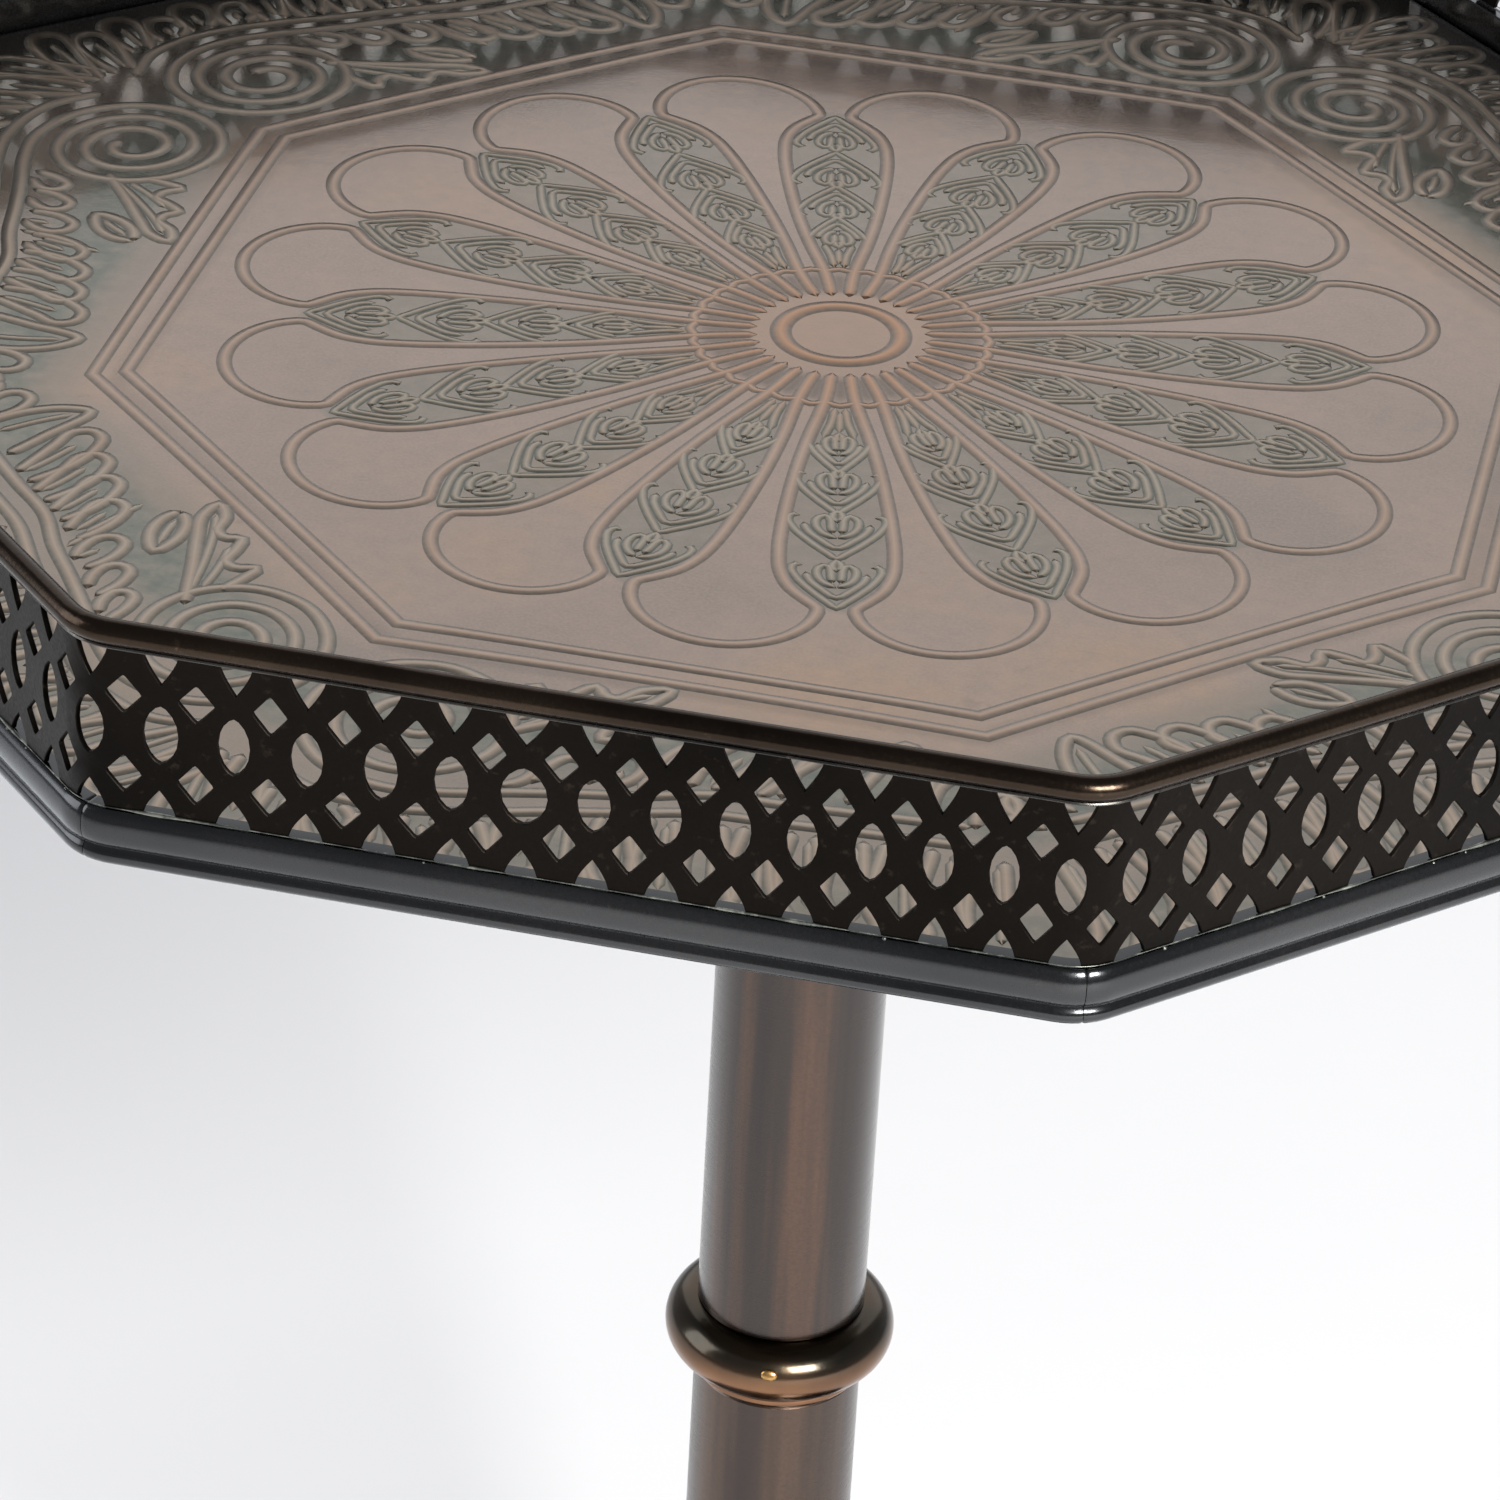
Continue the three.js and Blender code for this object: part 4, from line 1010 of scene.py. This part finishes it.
SMALL = [
    [(24, 151), (16, 143.6), (8, 137.4), (3.6, 134.6)],
    [(24.4, 148.6), (19.4, 142.4), (14.6, 137.6)],
    [(1.4, 141.8), (4.2, 145.2), (7.2, 148.4)],
    [(3.8, 163.6), (3.2, 158.2)],
    [(-4.6, 159), (-6.2, 154.6), (-7.6, 151.4)],
    [(-12.2, 158.6), (-13.8, 153.6), (-15.6, 148.8)],
    [(-20.2, 158.2), (-21.8, 152.4), (-23.8, 147.2)],
    [(-28.2, 157.6), (-29.8, 151.4), (-32.0, 144.8)],
    [(-44.2, 155), (-43.8, 147.6), (-42.6, 140.2)],
    [(-3.6, 150.4), (-2.4, 156), (-0.6, 163)],
    [(-6.6, 144.4), (-5.2, 150), (-3.0, 158)],
]


def outer_fronds():
    """Fingers that stand on the outer stem and reach to the tray's edge, each with a vein."""
    places = np.arange(-68, 72, 8.2)
    feet = np.interp(places, *np.array(OUTER_STEM).T) + 2.4
    tips = 193.6 + 1.8 * np.sin(places * 0.37)
    arches = [finger((s, tip), foot, 7.4, 3.4 - 2.2 * s / 60) for s, tip, foot in zip(places, tips, feet)]
    veins = [[(s + 2.4 - 2.0 * s / 60, foot + 2.2), (s, tip - 4.6)] for s, tip, foot in zip(places, tips, feet)]
    return arches, veins


def on_side(line, side, mirrored):
    """(sideways, from the centre) put on a side of the tray: d x outward + s x along."""
    s = -line[:, 0] if mirrored else line[:, 0]
    d = line[:, 1] + 1.4 * (BORDER_OUT - line[:, 1]) / BORDER_WIDTH
    facing = 2 * HALF_CORNER * side
    x = d * math.cos(facing) - s * math.sin(facing)
    y = d * math.sin(facing) + s * math.cos(facing)
    return shifted(np.stack([x, y], -1))


arches, veins = outer_fronds()
for half, sides in (("front", (5, 6, 7, 0)), ("back", (1, 2, 3, 4))):
    strong = [raised(on_side(through(line, 1.35), k, k % 2 == 0), 1.45, 0.7) for line in MAIN + arches for k in sides]
    fine = [raised(on_side(through(line, 1.6), k, k % 2 == 0), 0.95, 0.5, ease=1.2) for line in SMALL + veins for k in sides]
    put_relief(f"border_scrolls_{half}", strong, 0.55)
    put_relief(f"border_veins_{half}", fine, 0.7)

# %% [markdown]
# ## Column, collar and turned fittings
# The column is two lengths of tube with a ring collar between. All of it is lathe work, so each piece
# is an outline carried round the axis with enough steps to look truly round. Outlines keep to the
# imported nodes' sizes; only their coarse corners are smoothed into real coves and beads.

# %% The tubes
def tube_outline(node, bore_wall=1.5, ease=0.35):
    """Outer wall with eased ends, and the bore."""
    low, high = box_mm(node)
    r, z0, z1 = high[0], low[2], high[2]
    outer = [[r - ease, z0], [r, z0 + ease]] + [[r, z] for z in np.linspace(z0 + 6, z1 - 6, 16)] + [[r, z1 - ease], [r - ease, z1]]
    return outer + [[r - bore_wall, z1], [r - bore_wall, z0]]


for node in ("upper_tube", "lower_tube"):
    piece = put_turned(f"{node}_bronze", tube_outline(node), "pedestal", "column_bronze", COLUMN_FINISHES[node])
    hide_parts(node)
TUBE_R = box_mm("upper_tube")[1][0]


# %% The ring collar
def collar_outline():
    """Spigot, thin bead, half-round ring about its own centre, spigot; the bore inside."""
    low, high = box_mm("ring_collar")
    ring, spigot, bore = 6.8, TUBE_R - 1.8, 5.5
    centre_r, centre_z = high[0] - ring, box_mm("upper_tube")[0][2] - 0.2 - ring
    bead_low, bead_high = box_mm("lower_tube")[1][2] + 0.2, centre_z - ring
    a = np.linspace(-0.97, 0.93, 25) * math.pi / 2
    round_part = np.stack([centre_r + ring * np.cos(a), centre_z + ring * np.sin(a)], -1)
    b = np.linspace(-math.pi / 2, math.pi / 2, 9)
    half = (bead_high - bead_low) / 2
    bead = np.stack([TUBE_R - 0.1 + 1.15 * np.cos(b), bead_low + half + half * 0.92 * np.sin(b)], -1)
    return np.vstack([
        [[bore, low[2]], [spigot, low[2]], [spigot, bead_low]], bead, round_part,
        [[spigot + 1, centre_z + ring], [spigot, high[2]], [bore, high[2]]],
    ])


collar_points = turned_points(collar_outline(), 120)
collar_middle = box_mm("upper_tube")[0][2] - 7.0
# Painted reflection: the collar's lower half takes copper and its upper half stays dark.
painted_floor_reflection = 0.95 * np.clip((collar_middle + 3.5 - collar_points[..., 2]) / 5.0, 0, 1)
collar = put_piece("ring_collar_bronze", collar_points, [grid_quads(*collar_points.shape[:2], True, True)],
                   "pedestal", "collar_bronze", COLLAR_FINISH, {"painted_floor_reflection": painted_floor_reflection}, crease=30)
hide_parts("ring_collar")

# %% A drop of metal on the collar
drop_up, drop_turn = np.meshgrid(np.linspace(-1.3, 1.3, 7), np.linspace(0, 2 * math.pi, 12, endpoint=False), indexing="ij")
drop = np.stack([0.55 * np.sin(drop_up), 1.8 * np.cos(drop_up) * np.cos(drop_turn), 1.25 * np.cos(drop_up) * np.sin(drop_turn)], -1)
collar_high = box_mm("ring_collar")[1]
drop_angle, drop_rise = math.radians(-83), math.radians(24)
tilt = np.array([[math.cos(drop_rise), 0, -math.sin(drop_rise)], [0, 1, 0], [math.sin(drop_rise), 0, math.cos(drop_rise)]])
spin = np.array([[math.cos(drop_angle), -math.sin(drop_angle), 0], [math.sin(drop_angle), math.cos(drop_angle), 0], [0, 0, 1]])
ring_middle = np.array([collar_high[0] - 6.8, 0, box_mm("upper_tube")[0][2] - 7.0])
drop_points = (drop @ tilt.T + ring_middle + np.array([6.85 * math.cos(drop_rise), 0, 6.85 * math.sin(drop_rise)])) @ spin.T
put_piece("collar_drop", drop_points, [grid_quads(7, 12, False, True), end_faces(7, 12)],
          "pedestal", "collar_bronze", BARE_FINISH, crease=80)


# %% The column's cap, the tray's flange and the foot collar
def cap_outline():
    low, high = box_mm("column_cap")
    r, spigot, bore = high[0], TUBE_R - 1.8, 5.5
    under = high[2] - 4
    edge = through([[r - 1.4, under], [r - 0.3, under + 0.7], [r, under + 2], [r - 0.3, high[2] - 0.6], [r - 1.2, high[2]]], 0.4)
    return np.vstack([[[bore, low[2]], [spigot, low[2]], [spigot, under]], edge, [[bore, high[2]]]])


def flange_outline():
    low, high = box_mm("tray_flange")
    bore, room, skirt = 5.3, 12.8, 20.0
    thread_z, edge_z = high[2] - 9.2, high[2] - 4
    cove = through([[skirt, low[2] + 0.6], [skirt + 0.2, low[2] + 3], [skirt + 3.4, edge_z - 2.4], [skirt + 10, edge_z - 0.7],
                    [high[0] - 1.4, edge_z + 0.5], [high[0] - 0.2, edge_z + 1.4], [high[0], high[2] - 1.2]], 0.9)
    return np.vstack([[[bore, thread_z], [room, thread_z], [room, low[2]], [skirt - 0.6, low[2]]], cove,
                      [[high[0] - 0.6, high[2]], [bore, high[2]]]])


def foot_outline():
    low, high = box_mm("foot_collar")
    z, waist, bead = low[2], TUBE_R + 2, TUBE_R + 5.5
    bore, spigot, top = 5.5, TUBE_R - 1.8, low[2] + 23
    swell = through([[high[0] - 0.4, z], [high[0], z + 1.5], [high[0] - 0.8, z + 3.1], [waist + 3.4, z + 4.8], [waist, z + 9.6],
                     [waist + 0.4, z + 11.2], [bead - 0.7, z + 12.3], [bead, z + 14.5], [bead - 0.7, z + 16.7],
                     [waist + 0.4, z + 18], [waist - 0.4, z + 20], [TUBE_R + 0.4, top]], 0.7)
    return np.vstack([[[bore, z]], swell, [[spigot, top], [spigot, high[2]], [bore, high[2]]]])


for node, outline, body in (("column_cap", cap_outline(), "pedestal"), ("tray_flange", flange_outline(), "tray"),
                            ("foot_collar", foot_outline(), "pedestal")):
    piece = put_turned(f"{node}_bronze", outline, body, "collar_bronze", COLLAR_FINISH)
    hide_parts(node)

# %% [markdown]
# ## The base
# The base repeats the tray in small: an upright rim with two soft bands, a ledge, then a hollow curve
# that sweeps up on eight faces to the foot collar. It is spun and pressed sheet, so its arrises are
# rounded. Each height of its outline is one rounded octagon; the inside repeats it a sheet's
# thickness in, so the shell is closed and really hollow.

# %% The base shell
def base_outline():
    """(apothem, z) up the outside; the sweep is apothem ~ (1 - t)^1.5, z ~ t^1.25."""
    low, high = box_mm("base_shell")
    a, z0, top = high[0], low[2], high[2]
    ledge, foot, rim = a - 9, 36.0, z0 + 7
    t = np.linspace(0, 1, 26)
    sweep = np.stack([foot + (ledge - 2 - foot) * (1 - t) ** 1.5, rim + 7 + (top - 3 - rim - 7) * t**1.25], -1)
    bands = through([[a - 0.7, z0], [a - 0.1, z0 + 0.7], [a, z0 + 2], [a - 0.2, z0 + 3.1], [a - 0.9, z0 + 3.6], [a - 0.3, z0 + 4.1],
                     [a - 0.1, z0 + 5.4], [a - 0.5, z0 + 6.8], [a - 1.6, z0 + 8.6], [a - 4.5, z0 + 9.8], [ledge, rim + 3.2],
                     [ledge - 0.9, rim + 5.6]], 0.5)
    crown = through([sweep[-1] + [-0.3, 0.5], [foot - 0.8, top - 1.2], [foot - 2.2, top]], 0.5)
    return np.vstack([bands, sweep, crown, [[20, top], [5.5, top]]])


outside = base_outline()
inside = outside - [1.6, 1.6]
inside[0] = outside[0] - [1.6, 0]
inside[-1] = outside[-1] - [0, 1.6]
base_loop = np.vstack([outside, inside[::-1]])
base_rings = []
for apothem, z in base_loop:
    rounding = 1.0 + 0.028 * apothem
    x, y, _, _ = octagon_walk(octagon_stations(apothem, rounding, 10, 4), apothem, rounding)
    base_rings.append(np.stack([x, y, np.full_like(x, z)], -1))
base_points = np.stack(base_rings)
base = put_piece("base_shell_bronze", base_points, [grid_quads(*base_points.shape[:2], True, True)],
                 "pedestal", "column_bronze", MOULDING_FINISH, crease=32)
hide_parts("base_shell")

# %% [markdown]
# ## Floor, light and camera
# The table stands on a wide pale floor in a bright studio. A soft panel at the right of the front is
# the main light. A broad window at the back is mirrored by the tray, and a panel at the left lifts the
# dark metal there. The world round them is grey. All are soft, so that shadows stay pale.

# %% Floor
ground = bpy.data.meshes.new("studio_floor")
ground.from_pydata([(-9, -9, 0), (9, -9, 0), (9, 9, 0), (-9, 9, 0)], [], [(0, 1, 2, 3)])
ground_finish = Finish("studio_floor_paper", 0.0)
ground.materials.append(ground_finish.done(
    ground_finish.ramp(ground_finish.noise(1.3, 2), [(0.3, tone(234, 234, 235)), (0.7, tone(239, 239, 240))]),
    ground_finish.spread(ground_finish.noise(30, 2), 0.3, 0.7, 0.75, 0.85), ground_finish.noise(60, 2), 0.0001))
ground_piece = bpy.data.objects.new("studio_floor", ground)
bpy.context.scene.collection.objects.link(ground_piece)


# %% Lights
def panel(name, place, aim, width, height, power, colour):
    """A soft rectangle of light that looks at a point."""
    lamp = bpy.data.lights.new(name, "AREA")
    lamp.shape, lamp.size, lamp.size_y, lamp.energy, lamp.color = "RECTANGLE", width, height, power, colour
    made = bpy.data.objects.new(name, lamp)
    made.location = place
    made.rotation_euler = (Vector(aim) - Vector(place)).to_track_quat("-Z", "Y").to_euler()
    bpy.context.scene.collection.objects.link(made)


panel("front_right_window", (1.5, -1.95, 1.8), (0, 0, 0.35), 1.2, 0.95, 144, (1.0, 0.99, 0.97))
panel("rear_window", (-0.3, 2.5, 2.1), (0, 0, 0.5), 4.6, 2.8, 33, (0.99, 0.99, 1.0))
panel("left_fill", (-2.4, -0.6, 1.3), (0, 0, 0.4), 1.4, 1.8, 26, (0.94, 0.96, 1.0))

world = bpy.data.worlds.new("pale_studio")
world.use_nodes = True
sky, joins = world.node_tree.nodes, world.node_tree.links
heading, split, level_of = sky.new("ShaderNodeTexCoord"), sky.new("ShaderNodeSeparateXYZ"), sky.new("ShaderNodeValToRGB")
joins.new(heading.outputs["Generated"], split.inputs[0])
joins.new(split.outputs["Z"], level_of.inputs["Fac"])
joins.new(level_of.outputs["Color"], sky["Background"].inputs["Color"])
low, high = level_of.color_ramp.elements
low.position, low.color = 0.1, (0.3, 0.3, 0.31, 1)
high.position, high.color = 0.6, (0.2, 0.205, 0.22, 1)
bpy.context.scene.world = world
bpy.context.scene.view_settings.view_transform = "Standard"

# %% Camera
YAW, PITCH, ROLL = math.radians(11.228), math.radians(-31.75), math.radians(3.228)
eye = bpy.data.cameras.new("camera")
eye.lens, eye.sensor_width = 147.12, 36
camera = bpy.data.objects.new("camera", eye)
forward = Vector((-math.sin(YAW) * math.cos(PITCH), math.cos(YAW) * math.cos(PITCH), math.sin(PITCH)))
level = Vector((math.cos(YAW), math.sin(YAW), 0))
upright = level.cross(forward)
right = level * math.cos(ROLL) + upright * math.sin(ROLL)
up = upright * math.cos(ROLL) - level * math.sin(ROLL)
camera.matrix_world = Matrix.Translation((0.18820, -1.01440, FLOOR_Z * MM + 0.55000)) @ Matrix((right, up, -forward)).transposed().to_4x4()
bpy.context.scene.collection.objects.link(camera)
bpy.context.scene.camera = camera
print("camera at", [round(v, 3) for v in camera.matrix_world.translation])
